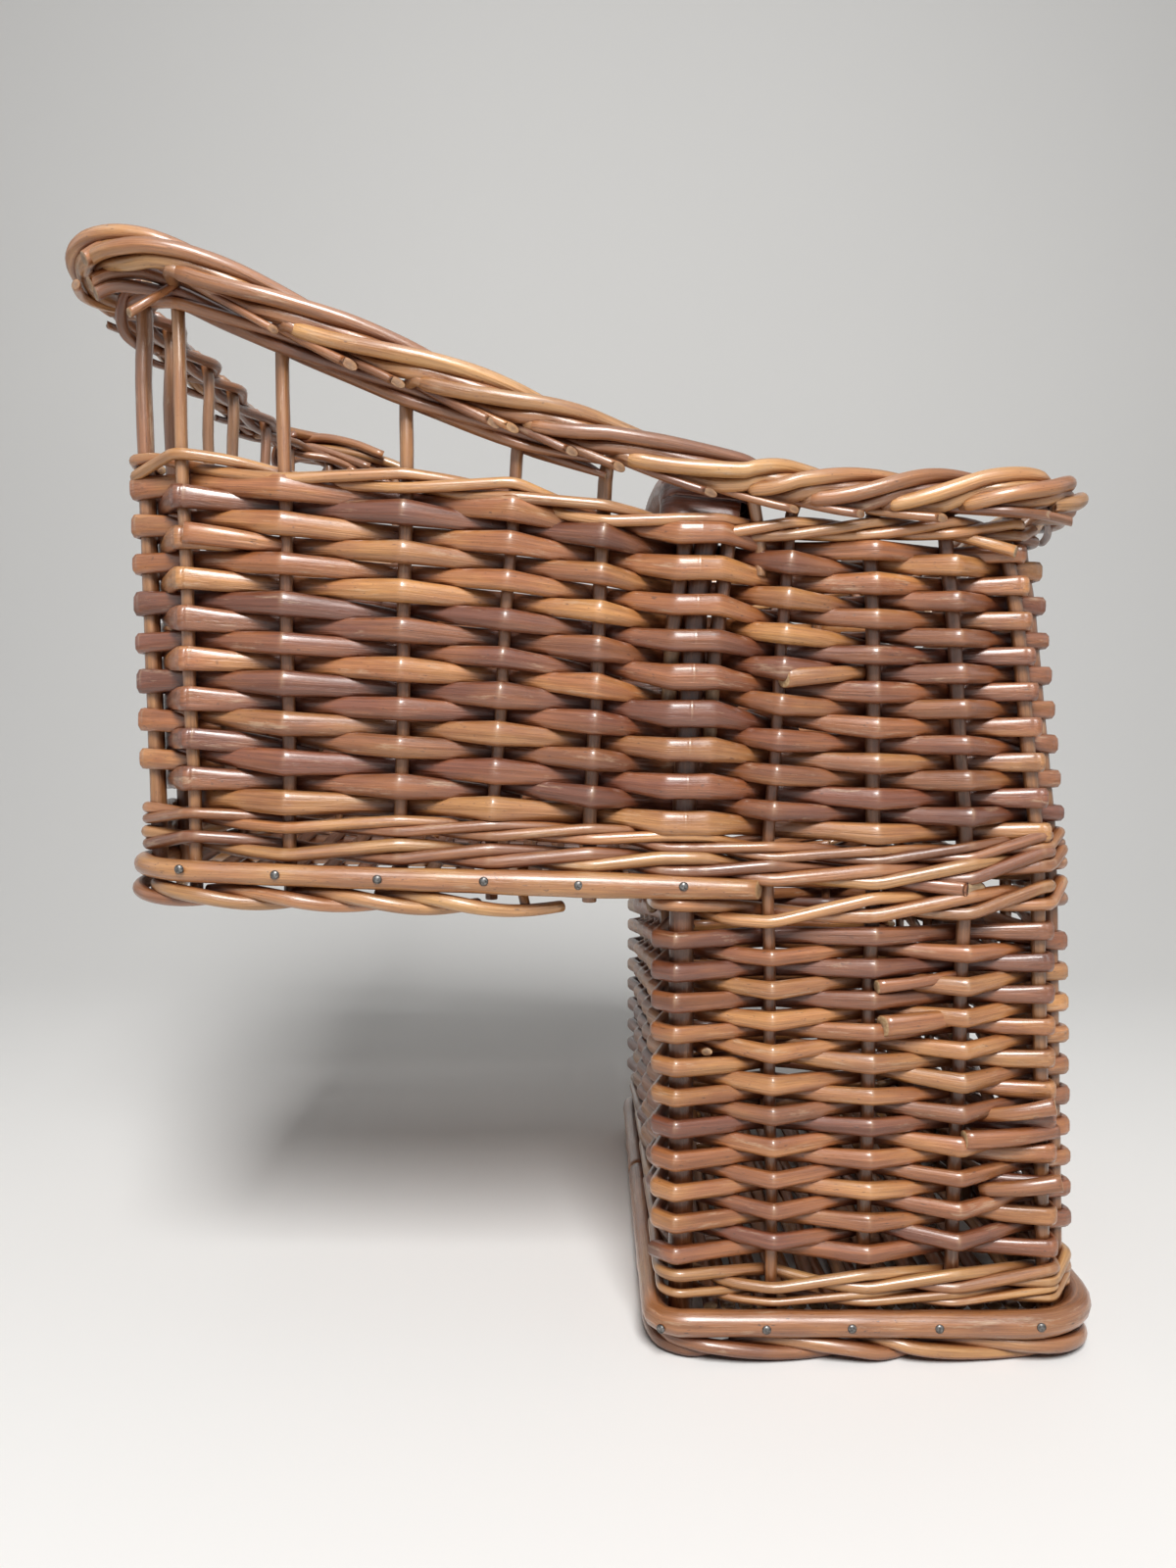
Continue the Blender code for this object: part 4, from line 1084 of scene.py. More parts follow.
def make_wrap():
    """A flat skein wound round the three rods, one turn beside the next."""
    bundle = Bundle("handle_skein")
    top_x = handle_x(HANDLE_BEND_HEIGHT)
    route = both_halves(handle_half(BOW_Y, top_x, 14, 18))
    steps = np.linalg.norm(np.diff(route, axis=0), axis=1)
    run = np.concatenate([[0], np.cumsum(steps)])
    total = run[-1]
    width = 0.0096
    half_wide, half_high = 0.0186, BOW_RADIUS + 0.0020
    flat_part = half_wide - half_high
    around = 4 * flat_part + 2 * math.pi * half_high
    turns = int((total - 0.004) / width)
    per_turn = 28
    number = turns * per_turn
    centre, outs = [], []
    tangents = unit(np.gradient(route, axis=0))
    for step in range(number + 1):
        share = step / number
        s = 0.003 + share * (total - 0.006)
        middle = np.array([np.interp(s, run, route[:, k]) for k in range(3)])
        tangent = unit(np.array([np.interp(s, run, tangents[:, k]) for k in range(3)]))
        wide = np.array((1.0, 0, 0))
        high = np.cross(wide, tangent)
        p = (step / per_turn % 1.0) * around
        if p < 2 * flat_part:
            u, v, nu, nv = flat_part - p, half_high, 0.0, 1.0
        elif p < 2 * flat_part + math.pi * half_high:
            angle = math.pi / 2 + (p - 2 * flat_part) / half_high
            nu, nv = math.cos(angle), math.sin(angle)
            u, v = -flat_part + half_high * nu, half_high * nv
        elif p < 4 * flat_part + math.pi * half_high:
            q = p - 2 * flat_part - math.pi * half_high
            u, v, nu, nv = -flat_part + q, -half_high, 0.0, -1.0
        else:
            q = p - 4 * flat_part - math.pi * half_high
            angle = -math.pi / 2 + q / half_high
            nu, nv = math.cos(angle), math.sin(angle)
            u, v = flat_part + half_high * nu, half_high * nv
        centre.append(middle + wide * u + high * v)
        outs.append(wide * nu + high * nv)
    sweep(bundle, np.array(centre), np.array(outs), width * 0.68, 0.0011, tint_of(0, 0.1), sides=12)
    return bundle


# Frame rods and feet
def ring_path(ring, start, end, steps, height_of, out=0.0):
    points, outs = [], []
    for step in range(steps):
        plan, normal = ring.at(lerp(start, end, step / (steps - 1)), out)
        points.append((plan.x, plan.y, height_of(plan.x)))
        outs.append((normal.x, normal.y, 0.0))
    return np.array(points), np.array(outs)


LEG_FRAME_HEIGHT = 0.0157
FRAME_OUT = STAKE_RADIUS + FRAME_RADIUS + GAP
BOW_OUT = BOW_RADIUS + FRAME_RADIUS + GAP


def leg_frame_ring():
    half = HALF_WIDTH + FRAME_OUT
    return Ring(-BOW_OUT, LEG_LENGTH + FRAME_OUT, half, BOW_OUT, TOE_CORNER + FRAME_OUT)


def shelf_frame_ring():
    half = HALF_WIDTH + FRAME_OUT
    left = 0.0025 - SHELF_LENGTH - FRAME_OUT
    return Ring(left, LEG_LENGTH, half, END_CORNER + FRAME_OUT, END_CORNER)


def make_frames():
    bundle = Bundle("frame_rods")
    ring = leg_frame_ring()
    start = ring.run_of(6, 0.02)
    path, outs = ring_path(ring, start, start + ring.total - 0.002, 150,
                           lambda x: LEG_FRAME_HEIGHT)
    wave = 1 + 0.05 * np.sin(np.linspace(0, 19, 150))
    path[:, 2] += 0.0004 * np.sin(np.linspace(0, 11, 150))
    sweep(bundle, path, outs, 0.0058 * wave, FRAME_RADIUS * wave, (0.45, 0.5, 0.3), sides=18)
    ring = shelf_frame_ring()
    end_x = 0.030
    start = ring.run_of(4, end_x)
    path, outs = ring_path(ring, start, ring.total + ring.run_of(0, end_x), 150, shelf_line)
    wave = 1 + 0.05 * np.sin(np.linspace(2, 21, 150))
    taper = np.minimum(1, 0.7 + 0.3 * np.minimum(np.arange(150), np.arange(150)[::-1]) / 14)
    thick = np.interp(path[:, 0], (-0.22, -0.02), (0.0044, 0.0057)) * wave * taper
    path[:, 2] += np.interp(path[:, 0], (-0.22, -0.12), (0.0008, 0.0))
    sweep(bundle, path, outs, thick, 0.95 * thick, (0.6, 0.6, 0.7), sides=18,
          slants=(0.5, -0.5))
    bar = np.array([(0, y, shelf_line(0)) for y in np.linspace(-0.130, 0.130, 20)])
    sweep(bundle, bar, (-1, 0, 0), FRAME_RADIUS, FRAME_RADIUS, (0.3, 0.4, 0.5), sides=16)
    return bundle


def foot_border(bundle, ring, runs, base_of, rod_radius, lift, spread, lay=2.2, closed=True):
    """Each rod slants down from behind the frame rod, over the next, and ends inside."""
    count = len(runs)
    for index in range(count):
        if not closed and index + 3 >= count:
            continue
        points, outs = [], []
        steps = 12
        for step in range(steps + 1):
            share = step / steps
            spacings = share * lay
            whole = int(spacings)
            a = runs[(index + whole) % count]
            b = runs[(index + whole + 1) % count]
            gap = (b - a) % ring.total
            run = a + gap * (spacings - whole)
            phase = math.radians(lerp(150, -165, share))
            plan, normal = ring.at(run, 0.004 + spread * math.cos(phase))
            z = base_of(plan.x) + rod_radius + lift + lift * math.sin(phase)
            points.append((plan.x, plan.y, z))
            outs.append((normal.x, normal.y, 0.0))
        path, where = smooth_path(points, 3)
        out = unit(mix_rows(where, outs))
        size = chance.uniform(0.92, 1.08)
        fade = np.minimum(1, 0.8 + 0.2 * (where[-1] - where) / 6)
        radii = rod_radius * size * fade
        sweep(bundle, path, out, radii, radii, tint_of(0.3, 0.9), sides=14,
              slants=(0, chance.uniform(-1.2, 1.2)))


def shelf_foot(x):
    return shelf_line(x) - FRAME_RADIUS - 0.0098


def make_feet():
    bundle = Bundle("foot_borders")
    ring = Ring(-0.004, LEG_LENGTH + 0.002, HALF_WIDTH + 0.001, 0.012, TOE_CORNER)
    runs = []
    for number in range(20):
        runs.append(ring.total * (number + 0.25 * math.sin(number * 2.3)) / 20 + 0.012)
    foot_border(bundle, ring, runs, lambda x: 0.0, 0.0030, 0.0024, 0.0042)
    ring = Ring(-SHELF_LENGTH, LEG_LENGTH, HALF_WIDTH, END_CORNER, END_CORNER)
    end_x = -0.022
    start = ring.run_of(4, end_x)
    length = ring.total + ring.run_of(0, end_x) - start
    runs = [start + length * number / 19 for number in range(20)]
    foot_border(bundle, ring, runs, shelf_foot, 0.0030, 0.0024, 0.0042, closed=False)
    for place in UPPER:
        if abs(place.normal.y) < 1 or place.kind == "bow" or -0.06 < place.plan[0].x < 0:
            continue
        base = 0.0 if place in LEG else shelf_foot(place.plan[0].x)
        tops = [place.at(0.0) for _ in range(2)]
        for point, (out, height) in zip(tops, ((-0.0015, 0.0120), (0.0010, 0.0030))):
            point.x += place.normal.y * 0.25 * (height - 0.0120) + 0.012
            point.y += place.normal.y * out
            point.z = base + height
        path = np.linspace(np.array(tops[0]), np.array(tops[1]), 5)
        sweep(bundle, path, (0, place.normal.y, 0), 0.0021, 0.0021, tint_of(0.8, 1.0),
              slants=(0, 0.8))
    return bundle


# Cut butts
def seen(px, py, y):
    """The part's own point at a depth y that the photograph shows at a pixel."""
    tilt = math.radians(2.3)
    across, up = (px - 600) / 1200, (800 - py) / 1200
    ahead = math.cos(tilt) + up * math.sin(tilt)
    far = (y + STAND[1] - camera.location.y) / ahead
    x = camera.location.x + across * far - STAND[0]
    z = camera.location.z + (up * math.cos(tilt) - math.sin(tilt)) * far
    return np.array((x, y, z))


# Where a new rod's butt shows: its cut end, its other end, radius and slant
BUTTS = ((901, 1047, 989, 1034, 0.0041, 0.5), (895, 1007, 979, 994, 0.0027, 0.3),
         (984, 1163, 1078, 1154, 0.0036, 0.2), (1077, 1129, 998, 1138, 0.0034, 0.3),
         (1083, 1207, 1000, 1213, 0.0034, 0.2), (994, 908, 905, 898, 0.0033, 1.9),
         (1036, 563, 962, 545, 0.0023, 0.6), (187, 543, 292, 558, 0.0043, 0.3),
         (800, 692, 880, 686, 0.0036, 0.6))


def make_butts(bundle):
    for px, py, end_px, end_py, radius, slant in BUTTS:
        start = seen(px, py, -HALF_WIDTH - 0.0076)
        end = seen(end_px, end_py, -HALF_WIDTH + 0.0010)
        path = np.linspace(start, end, 12)
        path[:, 1] -= 0.0024 * np.sin(np.linspace(0, math.pi, 12))
        radii = radius * np.linspace(1.04, 0.80, 12)
        sweep(bundle, path, (0, -1, 0), radii, radii * 0.8, tint_of(0.3, 0.8), sides=16,
              slants=(slant, 0), square=0.1, pale=1.0)


# The shelf's end corners: rods that the photograph shows, each a radius, how far it stands
# out of the stakes, and the pixels along it
CORNER_RODS = (
    (0.0030, 0.0140, (86, 264), (108, 252), (150, 248), (206, 262), (262, 288)),
    (0.0030, 0.0060, (92, 290), (112, 280), (146, 278), (190, 294), (250, 320)),
    (0.0026, 0.0070, (98, 300), (118, 292), (146, 294), (184, 304), (226, 326)),
    (0.0018, 0.0150, (132, 319), (152, 307), (177, 291)),
    (0.0026, -0.0150, (150, 288), (131, 298), (124, 318), (128, 340), (146, 356)),
)


def make_corner_rods(bundle):
    for radius, out, *pixels in CORNER_RODS:
        sink = [0.009 * (number / (len(pixels) - 1)) ** 2 for number in range(len(pixels))]
        near = np.array([seen(px, py, down - HALF_WIDTH - out)
                         for (px, py), down in zip(pixels, sink)])
        for side in (1, -1):
            path, where = smooth_path(near * (1, side, 1), 6)
            radii = radius * (1 - 0.15 * where / where[-1])
            sweep(bundle, path, (0, -side, 0), radii, radii, tint_of(0.0, 0.45), sides=14,
                  slants=(0.5, -0.5), pale=0.6)


# Floors
def make_floor(bundle, left, right, rows, sticks, middle_of, half):
    for y in sticks:
        xs = np.linspace(left, right, 14)
        path = np.array([(x, y, middle_of(x)) for x in xs])
        sweep(bundle, path, (0, 0, 1), STICK_RADIUS, STICK_RADIUS, tint_of(0.3, 0.8))
    deep, wide = 0.0021, 0.0032
    lift = STICK_RADIUS + deep + GAP
    for row in range(rows):
        x = lerp(left + 0.0125, right - 0.0125, row / (rows - 1))
        edge = min(half, floor_edge(x))
        points = [(x, -edge, middle_of(x))]
        for number, y in enumerate(sticks):
            side = 1 if (row + number) % 2 == 0 else -1
            points.append((x, y, middle_of(x) + side * lift))
        points.append((x, edge, middle_of(x)))
        path, where = rounded(points, [0.02] * len(points))
        sweep(bundle, path, (0, 0, 1), wide, deep, tint_of(0.1, 0.8), sides=10)


def floor_edge(x):
    inset = 0.0062
    room = HALF_WIDTH - inset
    for limit, corner in ((-SHELF_LENGTH, END_CORNER), (LEG_LENGTH, TOE_CORNER)):
        depth = corner - abs(x - limit)
        if depth > 0:
            reach = corner - inset
            return HALF_WIDTH - corner + math.sqrt(max(0, reach * reach - depth * depth))
    return room


def make_floors():
    bundle = Bundle("floors")
    sticks = [share * HALF_WIDTH for share in (-0.5, 0.0, 0.5)]
    make_floor(bundle, 0.003 - SHELF_LENGTH, -FRAME_RADIUS - GAP, 27, sticks, shelf_line, 0.131)
    sticks = [toe_stake_shares[0] * HALF_WIDTH, toe_stake_shares[2] * HALF_WIDTH]
    make_floor(bundle, RISER_X + 0.003, LEG_LENGTH - 0.0035, 19, sticks,
               lambda x: LEG_FRAME_HEIGHT, 0.131)
    return bundle


# Nails
def make_nails(material):
    """Domed nail heads along the frame rods, each with its short shank."""
    shape = bmesh.new()
    scale = 2578.0
    places = []
    for px, lift in ((676, -0.001), (786, 0.0), (875, 0.0004), (966, 0.0004), (1072, 0.001)):
        x = -0.0031 + (px - 600) / scale - STAND[0]
        places.append((x, LEG_FRAME_HEIGHT + lift))
    for px, lift in ((181, 0.0020), (279, 0.0008), (384, 0.0002), (493, 0.0007),
                     (590, 0.0002), (698, 0.0010)):
        x = -0.0031 + (px - 600) / scale - STAND[0]
        places.append((x, shelf_line(x) + lift))
    spots = []
    for x, z in places:
        for side in (-1, 1):
            half, reach, way = HALF_WIDTH + FRAME_OUT, FRAME_RADIUS * 0.985, Vector((0, side, 0))
            if z < 0.1 and x < 0:
                half, reach = half - BOW_OUT, reach + BOW_OUT
                way = Vector((x / reach, side * math.sqrt(1 - (x / reach) ** 2), 0))
            spots.append((Vector((x, side * half + way.y * reach, z)), way))
    for share in (-0.6, -0.2, 0.2, 0.6):
        y = share * HALF_WIDTH
        x = LEG_LENGTH + FRAME_OUT + FRAME_RADIUS * 0.985
        spots.append((Vector((x, y, LEG_FRAME_HEIGHT)), Vector((1, 0, 0))))
        x = -SHELF_LENGTH - FRAME_OUT - FRAME_RADIUS * 0.985
        spots.append((Vector((x, y, shelf_line(x))), Vector((-1, 0, 0))))
    profile = ((0.0, 0.0009), (0.0009, 0.0008), (0.0015, 0.0005), (0.0019, 0.0001),
               (0.0018, -0.0003), (0.0008, -0.0005), (0.0008, -0.004), (0.0, -0.004))
    for spot, out in spots:
        side = out.orthogonal().normalized()
        other = out.cross(side)
        rings = []
        for radius, height in profile:
            base = spot + out * height + Vector(STAND)
            if radius == 0:
                rings.append([shape.verts.new(base)])
                continue
            ring = []
            for step in range(12):
                angle = 2 * math.pi * step / 12
                way = side * math.cos(angle) + other * math.sin(angle)
                ring.append(shape.verts.new(base + way * radius))
            rings.append(ring)
        for a, b in zip(rings, rings[1:]):
            for step in range(12):
                after = (step + 1) % 12
                if len(a) == 1:
                    shape.faces.new((a[0], b[after], b[step]))
                elif len(b) == 1:
                    shape.faces.new((a[step], a[after], b[0]))
                else:
                    shape.faces.new((a[step], a[after], b[after], b[step]))
    bmesh.ops.recalc_face_normals(shape, faces=shape.faces)
    mesh = bpy.data.meshes.new("nails")
    shape.to_mesh(mesh)
    shape.free()
    mesh.polygons.foreach_set("use_smooth", [True] * len(mesh.polygons))
    mesh.materials.append(material)
    item = bpy.data.objects.new("nails", mesh)
    bpy.context.scene.collection.objects.link(item)
    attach(item, "root")
    return item


# Materials
class Tree:
    """Short ways to add and join a material's nodes."""

    def __init__(self, name):
        self.material = bpy.data.materials.new(name)
        self.material.use_nodes = True
        self.tree = self.material.node_tree
        self.shader = self.tree.nodes["Principled BSDF"]

    def node(self, kind, **settings):
        made = self.tree.nodes.new(kind)
        for name, value in settings.items():
            setattr(made, name, value)
        return made

    def join(self, source, target):
        self.tree.links.new(source, target)

    def attribute(self, name):
        return self.node("ShaderNodeAttribute", attribute_name=name)

    def scaled(self, vector, scale, seed=None):
        made = self.node("ShaderNodeVectorMath", operation="MULTIPLY_ADD")
        self.join(vector, made.inputs[0])
        made.inputs[1].default_value = scale
        if seed is not None:
            self.join(seed, made.inputs[2])
        return made.outputs[0]

    def noise(self, vector, detail=3.0, roughness=0.6, distortion=0.0):
        made = self.node("ShaderNodeTexNoise")
        self.join(vector, made.inputs["Vector"])
        made.inputs["Scale"].default_value = 1.0
        made.inputs["Detail"].default_value = detail
        made.inputs["Roughness"].default_value = roughness
        made.inputs["Distortion"].default_value = distortion
        return made.outputs["Fac"]

    def ramp(self, value, *stops):
        made = self.node("ShaderNodeValToRGB")
        self.join(value, made.inputs["Fac"])
        ramp = made.color_ramp
        while len(ramp.elements) < len(stops):
            ramp.elements.new(0.5)
        for element, (position, colour) in zip(ramp.elements, stops):
            element.position = position
            element.color = (*colour, 1) if len(colour) == 3 else colour
        return made.outputs["Color"]

    def span(self, value, low, high, to_low=0.0, to_high=1.0):
        made = self.node("ShaderNodeMapRange")
        self.join(value, made.inputs["Value"])
        made.inputs["From Min"].default_value = low
        made.inputs["From Max"].default_value = high
        made.inputs["To Min"].default_value = to_low
        made.inputs["To Max"].default_value = to_high
        return made.outputs["Result"]

    def maths(self, operation, a, b):
        made = self.node("ShaderNodeMath", operation=operation)
        for socket, value in zip(made.inputs, (a, b)):
            if isinstance(value, float):
                socket.default_value = value
            else:
                self.join(value, socket)
        return made.outputs[0]

    def mix(self, factor, a, b, blend="MIX"):
        made = self.node("ShaderNodeMix", data_type="RGBA", blend_type=blend)
        for socket, value in ((made.inputs[0], factor), (made.inputs[6], a), (made.inputs[7], b)):
            if isinstance(value, tuple):
                socket.default_value = (*value, 1)
            elif isinstance(value, float):
                socket.default_value = value
            else:
                self.join(value, socket)
        return made.outputs[2]

    def parts(self, vector):
        made = self.node("ShaderNodeSeparateXYZ")
        self.join(vector, made.inputs[0])
        return made.outputs


def willow(name, colours, rough=0.38, coat=1.0, speck=0.6):
    """Buff willow under thin lacquer: grain along the rod, freckles, scuffs and cut ends, with a
    painted highlight at the kinks and painted shade in the crevices.
    """
    dark, middle, light = colours
    tree = Tree(name)
    grain = tree.attribute("grain").outputs["Vector"]
    tint = tree.attribute("tint").outputs["Vector"]
    mark = tree.attribute("mark").outputs["Vector"]
    hue, value, seed = tree.parts(tint)
    cut, kink_ridge_and_highlight, pith = tree.parts(mark)
    offset = tree.node("ShaderNodeCombineXYZ")
    tree.join(tree.maths("MULTIPLY", seed, 37.0), offset.inputs[0])
    tree.join(tree.maths("MULTIPLY", seed, 91.0), offset.inputs[1])
    tree.join(tree.maths("MULTIPLY", value, 53.0), offset.inputs[2])
    seeded = offset.outputs[0]
    fibres = tree.noise(tree.scaled(grain, (45, 1500, 1500), seeded), 4.0, 0.65)
    streaks = tree.noise(tree.scaled(grain, (14, 420, 420), seeded), 3.0, 0.55)
    clouds = tree.noise(tree.scaled(grain, (22, 90, 90), seeded), 3.0, 0.55)
    dashes = tree.noise(tree.scaled(grain, (330, 1050, 1050), seeded), 2.0, 0.5)
    spots = tree.noise(tree.scaled(grain, (70, 330, 330), seeded), 2.0, 0.5)
    scuffs = tree.noise(tree.scaled(grain, (38, 260, 260), seeded), 5.0, 0.7)
    shift = tree.maths("ADD", hue, tree.span(clouds, 0.3, 0.7, -0.28, 0.28))
    base = tree.ramp(shift, (0.0, dark), (0.5, middle), (1.0, light))
    toned = tree.mix(tree.span(streaks, 0.35, 0.68), tuple(c * 0.80 for c in (1, 1, 1)),
                     (1.14, 1.14, 1.14))
    base = tree.mix(1.0, base, toned, "MULTIPLY")
    fine = tree.mix(tree.span(fibres, 0.33, 0.67), (0.80, 0.78, 0.76), (1.16, 1.17, 1.18))
    base = tree.mix(1.0, base, fine, "MULTIPLY")
    level = tree.span(value, 0.0, 1.0, 0.84, 1.16)
    grey = tree.node("ShaderNodeCombineXYZ")
    for socket in grey.inputs:
        tree.join(level, socket)
    base = tree.mix(1.0, base, grey.outputs[0], "MULTIPLY")
    # Painted shade: ambient occlusion finds the crevices between rods, where the colour is darkened
    # and the coat is turned down.
    crevice = tree.node("ShaderNodeAmbientOcclusion", samples=4)
    crevice.inputs["Distance"].default_value = 0.011
    open_share = tree.span(crevice.outputs["AO"], 0.22, 0.72, 0.0, 1.0)
    scuffed = tree.span(scuffs, 0.59, 0.72, 0.0, 0.6)
    base = tree.mix(scuffed, base, (0.52, 0.36, 0.23))
    freckles = tree.span(dashes, 0.67, 0.73, 0.0, speck)
    base = tree.mix(freckles, base, (0.055, 0.022, 0.012))
    stains = tree.span(spots, 0.70, 0.80, 0.0, 0.65 * speck)
    base = tree.mix(stains, base, (0.085, 0.032, 0.018))
    # Painted highlight: pale colour where the rod kinks over a stake, on its upper outer side.
    base = tree.mix(tree.maths("MULTIPLY", kink_ridge_and_highlight, 0.55), base, (0.60, 0.40, 0.24))
    rings = tree.noise(tree.scaled(grain, (60, 700, 700), seeded), 3.0, 0.6)
    straw = tree.ramp(rings, (0.3, (0.33, 0.19, 0.085)), (0.7, (0.60, 0.42, 0.22)))
    base = tree.mix(cut, base, straw)
    base = tree.mix(tree.maths("MULTIPLY", pith, 0.7), base, (0.13, 0.07, 0.04))
    # Painted shade in the crevices: the colour is multiplied darker where the occlusion is high.
    deep = tree.mix(1.0, base, (0.40, 0.22, 0.14), "MULTIPLY")
    base = tree.mix(open_share, deep, base)
    tree.join(base, tree.shader.inputs["Base Color"])
    roughness = tree.maths("ADD", tree.span(streaks, 0.3, 0.7, rough - 0.08, rough + 0.10),
                           tree.maths("MULTIPLY", cut, 0.25))
    tree.join(roughness, tree.shader.inputs["Roughness"])
    sheen = tree.maths("MULTIPLY", tree.span(streaks, 0.30, 0.62, 0.45 * coat, coat), open_share)
    tree.join(sheen, tree.shader.inputs["Coat Weight"])
    tree.shader.inputs["Coat Roughness"].default_value = 0.24
    tree.shader.inputs["Coat IOR"].default_value = 1.6
    height = tree.maths("ADD", tree.maths("MULTIPLY", fibres, 0.5), streaks)
    height = tree.maths("ADD", height, tree.maths("MULTIPLY", scuffs, 0.6))
    bump = tree.node("ShaderNodeBump")
    bump.inputs["Strength"].default_value = 0.9
    bump.inputs["Distance"].default_value = 0.0007
    tree.join(height, bump.inputs["Height"])
    tree.join(bump.outputs[0], tree.shader.inputs["Normal"])
    return tree.material


def steel():
    tree = Tree("nail_steel")
    place = tree.node("ShaderNodeTexCoord").outputs["Object"]
    worn = tree.noise(tree.scaled(place, (900, 900, 900)), 4.0, 0.6)
    colour = tree.ramp(worn, (0.35, (0.05, 0.045, 0.04)), (0.7, (0.28, 0.27, 0.26)))
    tree.join(colour, tree.shader.inputs["Base Color"])
    tree.join(tree.span(worn, 0.3, 0.7, 0.55, 0.28), tree.shader.inputs["Roughness"])
    tree.shader.inputs["Metallic"].default_value = 0.9
    return tree.material


def plain(name, colour):
    tree = Tree(name)
    place = tree.node("ShaderNodeTexCoord").outputs["Object"]
    soft = tree.noise(tree.scaled(place, (1.3, 1.3, 1.3)), 2.0, 0.5)
    low = tuple(c * 0.985 for c in colour)
    tree.join(tree.ramp(soft, (0.3, low), (0.7, colour)), tree.shader.inputs["Base Color"])
    tree.shader.inputs["Roughness"].default_value = 0.9
    tree.shader.inputs["Specular IOR Level"].default_value = 0.1
    return tree.material


WEAVER_COLOURS = ((0.160, 0.044, 0.016), (0.300, 0.104, 0.031), (0.510, 0.240, 0.075))
BORDER_COLOURS = ((0.180, 0.058, 0.020), (0.340, 0.135, 0.044), (0.530, 0.275, 0.094))
STAKE_COLOURS = ((0.160, 0.050, 0.018), (0.260, 0.104, 0.036), (0.370, 0.182, 0.067))
SKEIN_COLOURS = ((0.145, 0.041, 0.017), (0.200, 0.062, 0.025), (0.270, 0.096, 0.038))

weaver_look = willow("willow_weaver", WEAVER_COLOURS)
wale_look = willow("willow_wale", BORDER_COLOURS, speck=0.35)
border_look = willow("willow_border", BORDER_COLOURS)
stake_look = willow("willow_stake", STAKE_COLOURS, speck=0.4)
frame_look = willow("willow_frame", BORDER_COLOURS, speck=0.8)
skein_look = willow("willow_skein", SKEIN_COLOURS, rough=0.34, coat=0.5, speck=0.2)


# The basket
upper_a, upper_b = Bundle("upper_weavers_1"), Bundle("upper_weavers_2")
weave((upper_a, upper_b), UPPER, UPPER_ROWS, row_height, row_pitch, no_dip, upper_size, 1,
      INDEX["far_stake_1"], 0.0094, 0.0058, (0.0, 0.8), 12)
make_butts(upper_a)
upper_a.make(weaver_look, "weaver", "upper_weave")
upper_b.make(weaver_look, "weaver", "upper_weave")
leg_a, leg_b = Bundle("leg_weavers_1"), Bundle("leg_weavers_2")
leg_names = [place.name for place in LEG]
weave((leg_a, leg_b), LEG, LEG_ROWS, leg_row_height, leg_pitch, leg_dip, even(1.0), 0,
      leg_names.index("far_corner"), 0.0077, 0.0053, (0.0, 0.8), len(LEG) - 1)
leg_a.make(weaver_look, "weaver", "leg_weave")
leg_b.make(weaver_look, "weaver", "leg_weave")

WAIST_LOW = ((-0.22, -0.02, 0.035, 0.075, 0.1115, 0.145),
             (0.2125, 0.2048, 0.2003, 0.1986, 0.2000, 0.2052))
WAIST_HIGH = ((-0.22, -0.02, 0.035, 0.075, 0.1115, 0.145),
              (0.2230, 0.2150, 0.2086, 0.2068, 0.2076, 0.2125))
LEG_TOP = ((0.0, 0.035, 0.075, 0.1115, 0.145), (0.1840, 0.1835, 0.1864, 0.1868, 0.1905))


def line_of(table):
    return lambda x: np.interp(x, *table)


LEG_BASE_LOW = 0.0248
LEG_BASE_HIGH = 0.0322


def top_swing(x):
    return np.interp(x, (-0.2, 0.0, 0.08, 0.145), (0.0034, 0.0030, 0.0024, 0.0024))


WALES = (
    ("top_wale", UPPER, ((0.0024, top_swing, line_of(TOP_WALE)),)),
    ("waist_wale", UPPER, ((0.0028, even(0.0028), line_of(WAIST_LOW)),
                           (0.0022, even(0.0023), line_of(WAIST_HIGH)))),
    ("leg_top_wale", LEG, ((0.0028, even(0.0036), line_of(LEG_TOP)),)),
    ("leg_base_wale", LEG, ((0.0017, even(0.0019), even(LEG_BASE_LOW)),
                            (0.0023, even(0.0027), even(LEG_BASE_HIGH)))),
)
WALE_HUES = {"leg_base_wale": (0.3, 0.95)}
for name, stations, bands in WALES:
    bundle = Bundle(name + "_rods")
    for radius, swing, line in bands:
        wale(bundle, stations, radius, swing, line, WALE_HUES.get(name, (0.1, 0.8)))
    bundle.make(wale_look, "wale", name)

stake_nodes = [place.name for place in UPPER if place.kind != "bow"]
stake_nodes += [place.name for place in LEG if place.name.startswith("riser")]
stakes, border = make_stakes()
make_tips(border)
make_corner_rods(border)
stakes.make(stake_look, "stake", *stake_nodes)
border.make(border_look, "border", "near_border_rod", "far_border_rod")
make_rim_wale().make(wale_look, "wale", "rim_wale_1", "rim_wale_2", "rim_wale_3")
make_handle().make(stake_look, "stake", "handle_bow", "handle_liner_left", "handle_liner_right")
make_wrap().make(skein_look, "skein", "handle_wrap")
make_frames().make(frame_look, "frame", "leg_frame_rod", "shelf_frame_rod", "cross_bar")
make_feet().make(border_look, "border", "leg_foot_border", "shelf_foot_border")
floor_nodes = [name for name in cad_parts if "_floor_" in name or "_stick_" in name]
make_floors().make(weaver_look, "weaver", *floor_nodes)
make_nails(steel())


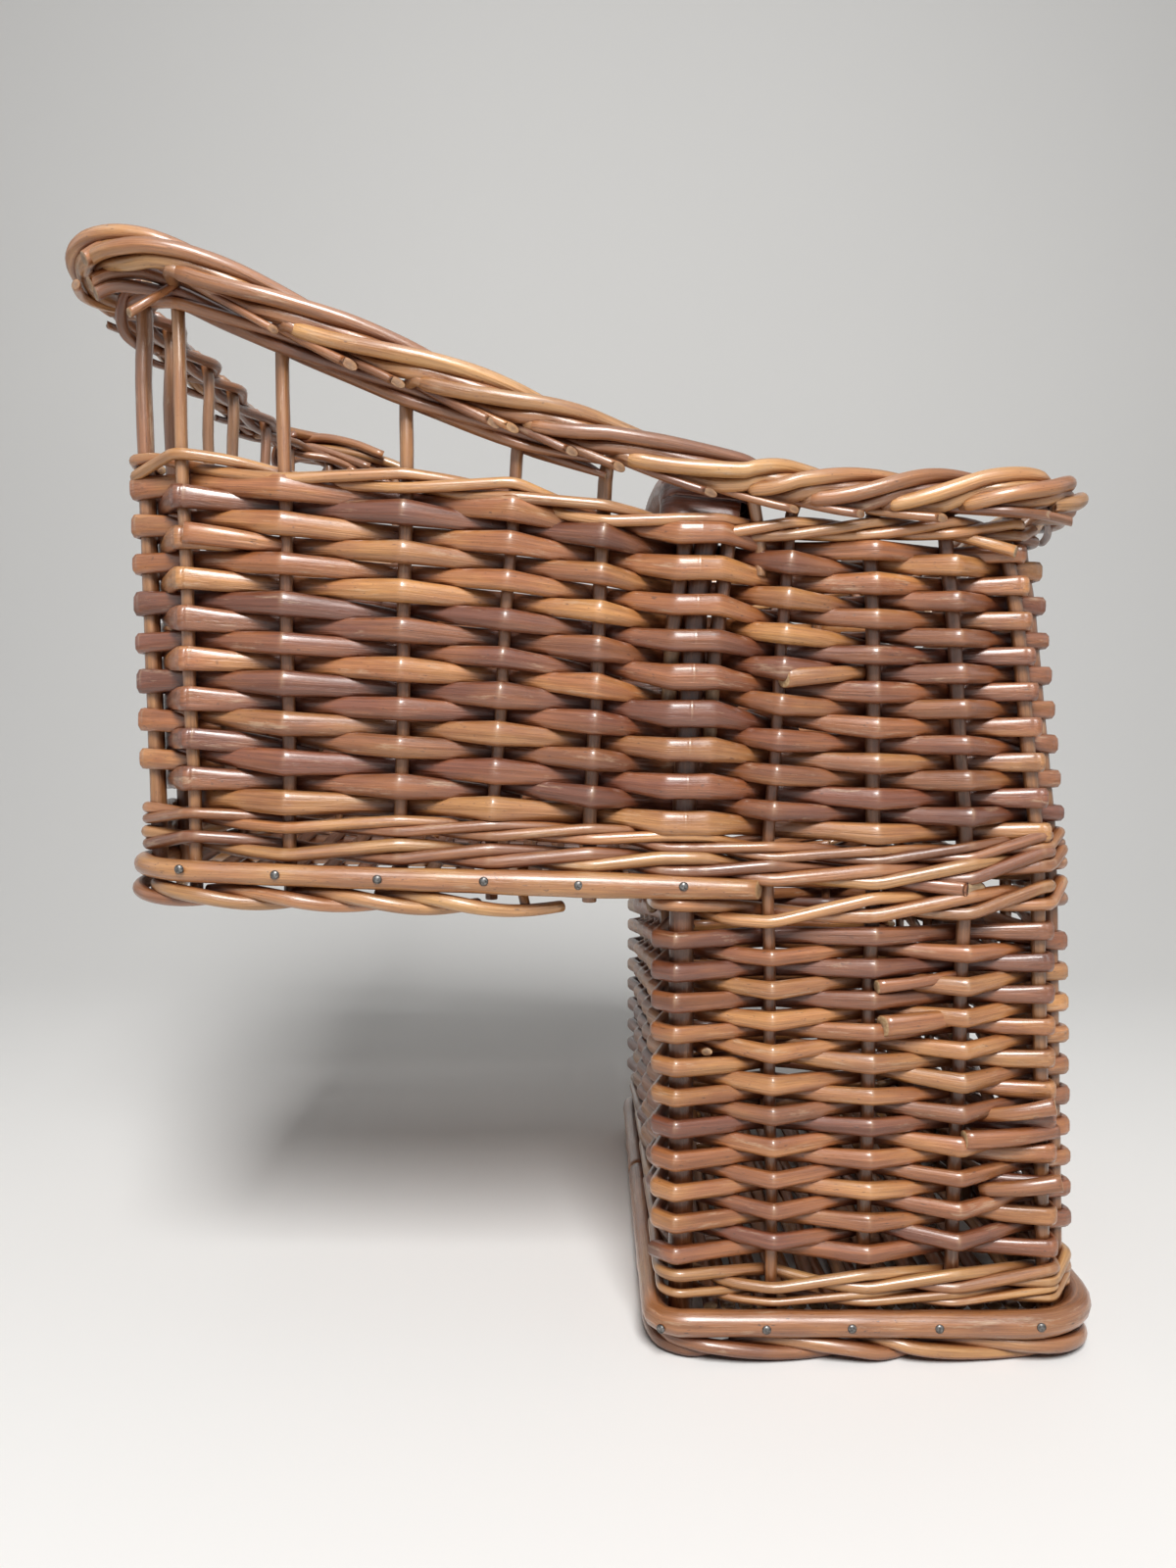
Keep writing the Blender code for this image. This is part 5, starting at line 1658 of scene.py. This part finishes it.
# Stage and light
def make_stage():
    """A pale floor that sweeps up into a backdrop well behind the basket."""
    radius, depth, wide = 0.9, 1.5, 4.0
    profile = [(-4.0, 0.0), (depth - radius, 0.0)]
    for step in range(1, 17):
        angle = math.pi / 2 * step / 16
        profile.append((depth - radius + radius * math.sin(angle), radius * (1 - math.cos(angle))))
    profile.append((depth, 4.0))
    points = [(x, y, z - 0.0003) for y, z in profile for x in (-wide, wide)]
    faces = [(2 * i, 2 * i + 1, 2 * i + 3, 2 * i + 2) for i in range(len(profile) - 1)]
    mesh = bpy.data.meshes.new("studio_floor")
    mesh.from_pydata(points, [], faces)
    mesh.polygons.foreach_set("use_smooth", [True] * len(mesh.polygons))
    mesh.materials.append(plain("pale_floor", (0.84, 0.83, 0.81)))
    floor = bpy.data.objects.new("studio_floor", mesh)
    bpy.context.scene.collection.objects.link(floor)


def area_light(name, place, target, wide, high, power):
    data = bpy.data.lights.new(name, "AREA")
    data.shape = "RECTANGLE"
    data.size = wide
    data.size_y = high
    data.energy = power
    lamp = bpy.data.objects.new(name, data)
    lamp.location = place
    way = Vector(target) - Vector(place)
    lamp.rotation_euler = way.to_track_quat("-Z", "Y").to_euler()
    bpy.context.scene.collection.objects.link(lamp)


make_stage()
area_light("key", (0.08, -1.50, 1.62), (0, 0, 0.24), 0.60, 0.9, 54)
area_light("top", (0.0, 0.1, 2.3), (0, 0, 0.2), 1.6, 1.6, 3)
world = bpy.data.worlds.new("studio")
bpy.context.scene.world = world
world.use_nodes = True
world.node_tree.nodes["Background"].inputs["Color"].default_value = (0.93, 0.96, 1.0, 1)
path = world.node_tree.nodes.new("ShaderNodeLightPath")
strength = world.node_tree.nodes.new("ShaderNodeMapRange")
strength.inputs["To Min"].default_value = 0.07
strength.inputs["To Max"].default_value = 0.9
shown = path.outputs["Is Camera Ray"]
for ray in ("Is Glossy Ray", "Is Transmission Ray"):
    either = world.node_tree.nodes.new("ShaderNodeMath")
    either.operation = "MAXIMUM"
    world.node_tree.links.new(shown, either.inputs[0])
    world.node_tree.links.new(path.outputs[ray], either.inputs[1])
    shown = either.outputs[0]
world.node_tree.links.new(shown, strength.inputs["Value"])
world.node_tree.links.new(strength.outputs["Result"],
                          world.node_tree.nodes["Background"].inputs["Strength"])
bpy.context.scene.view_settings.view_transform = "Standard"
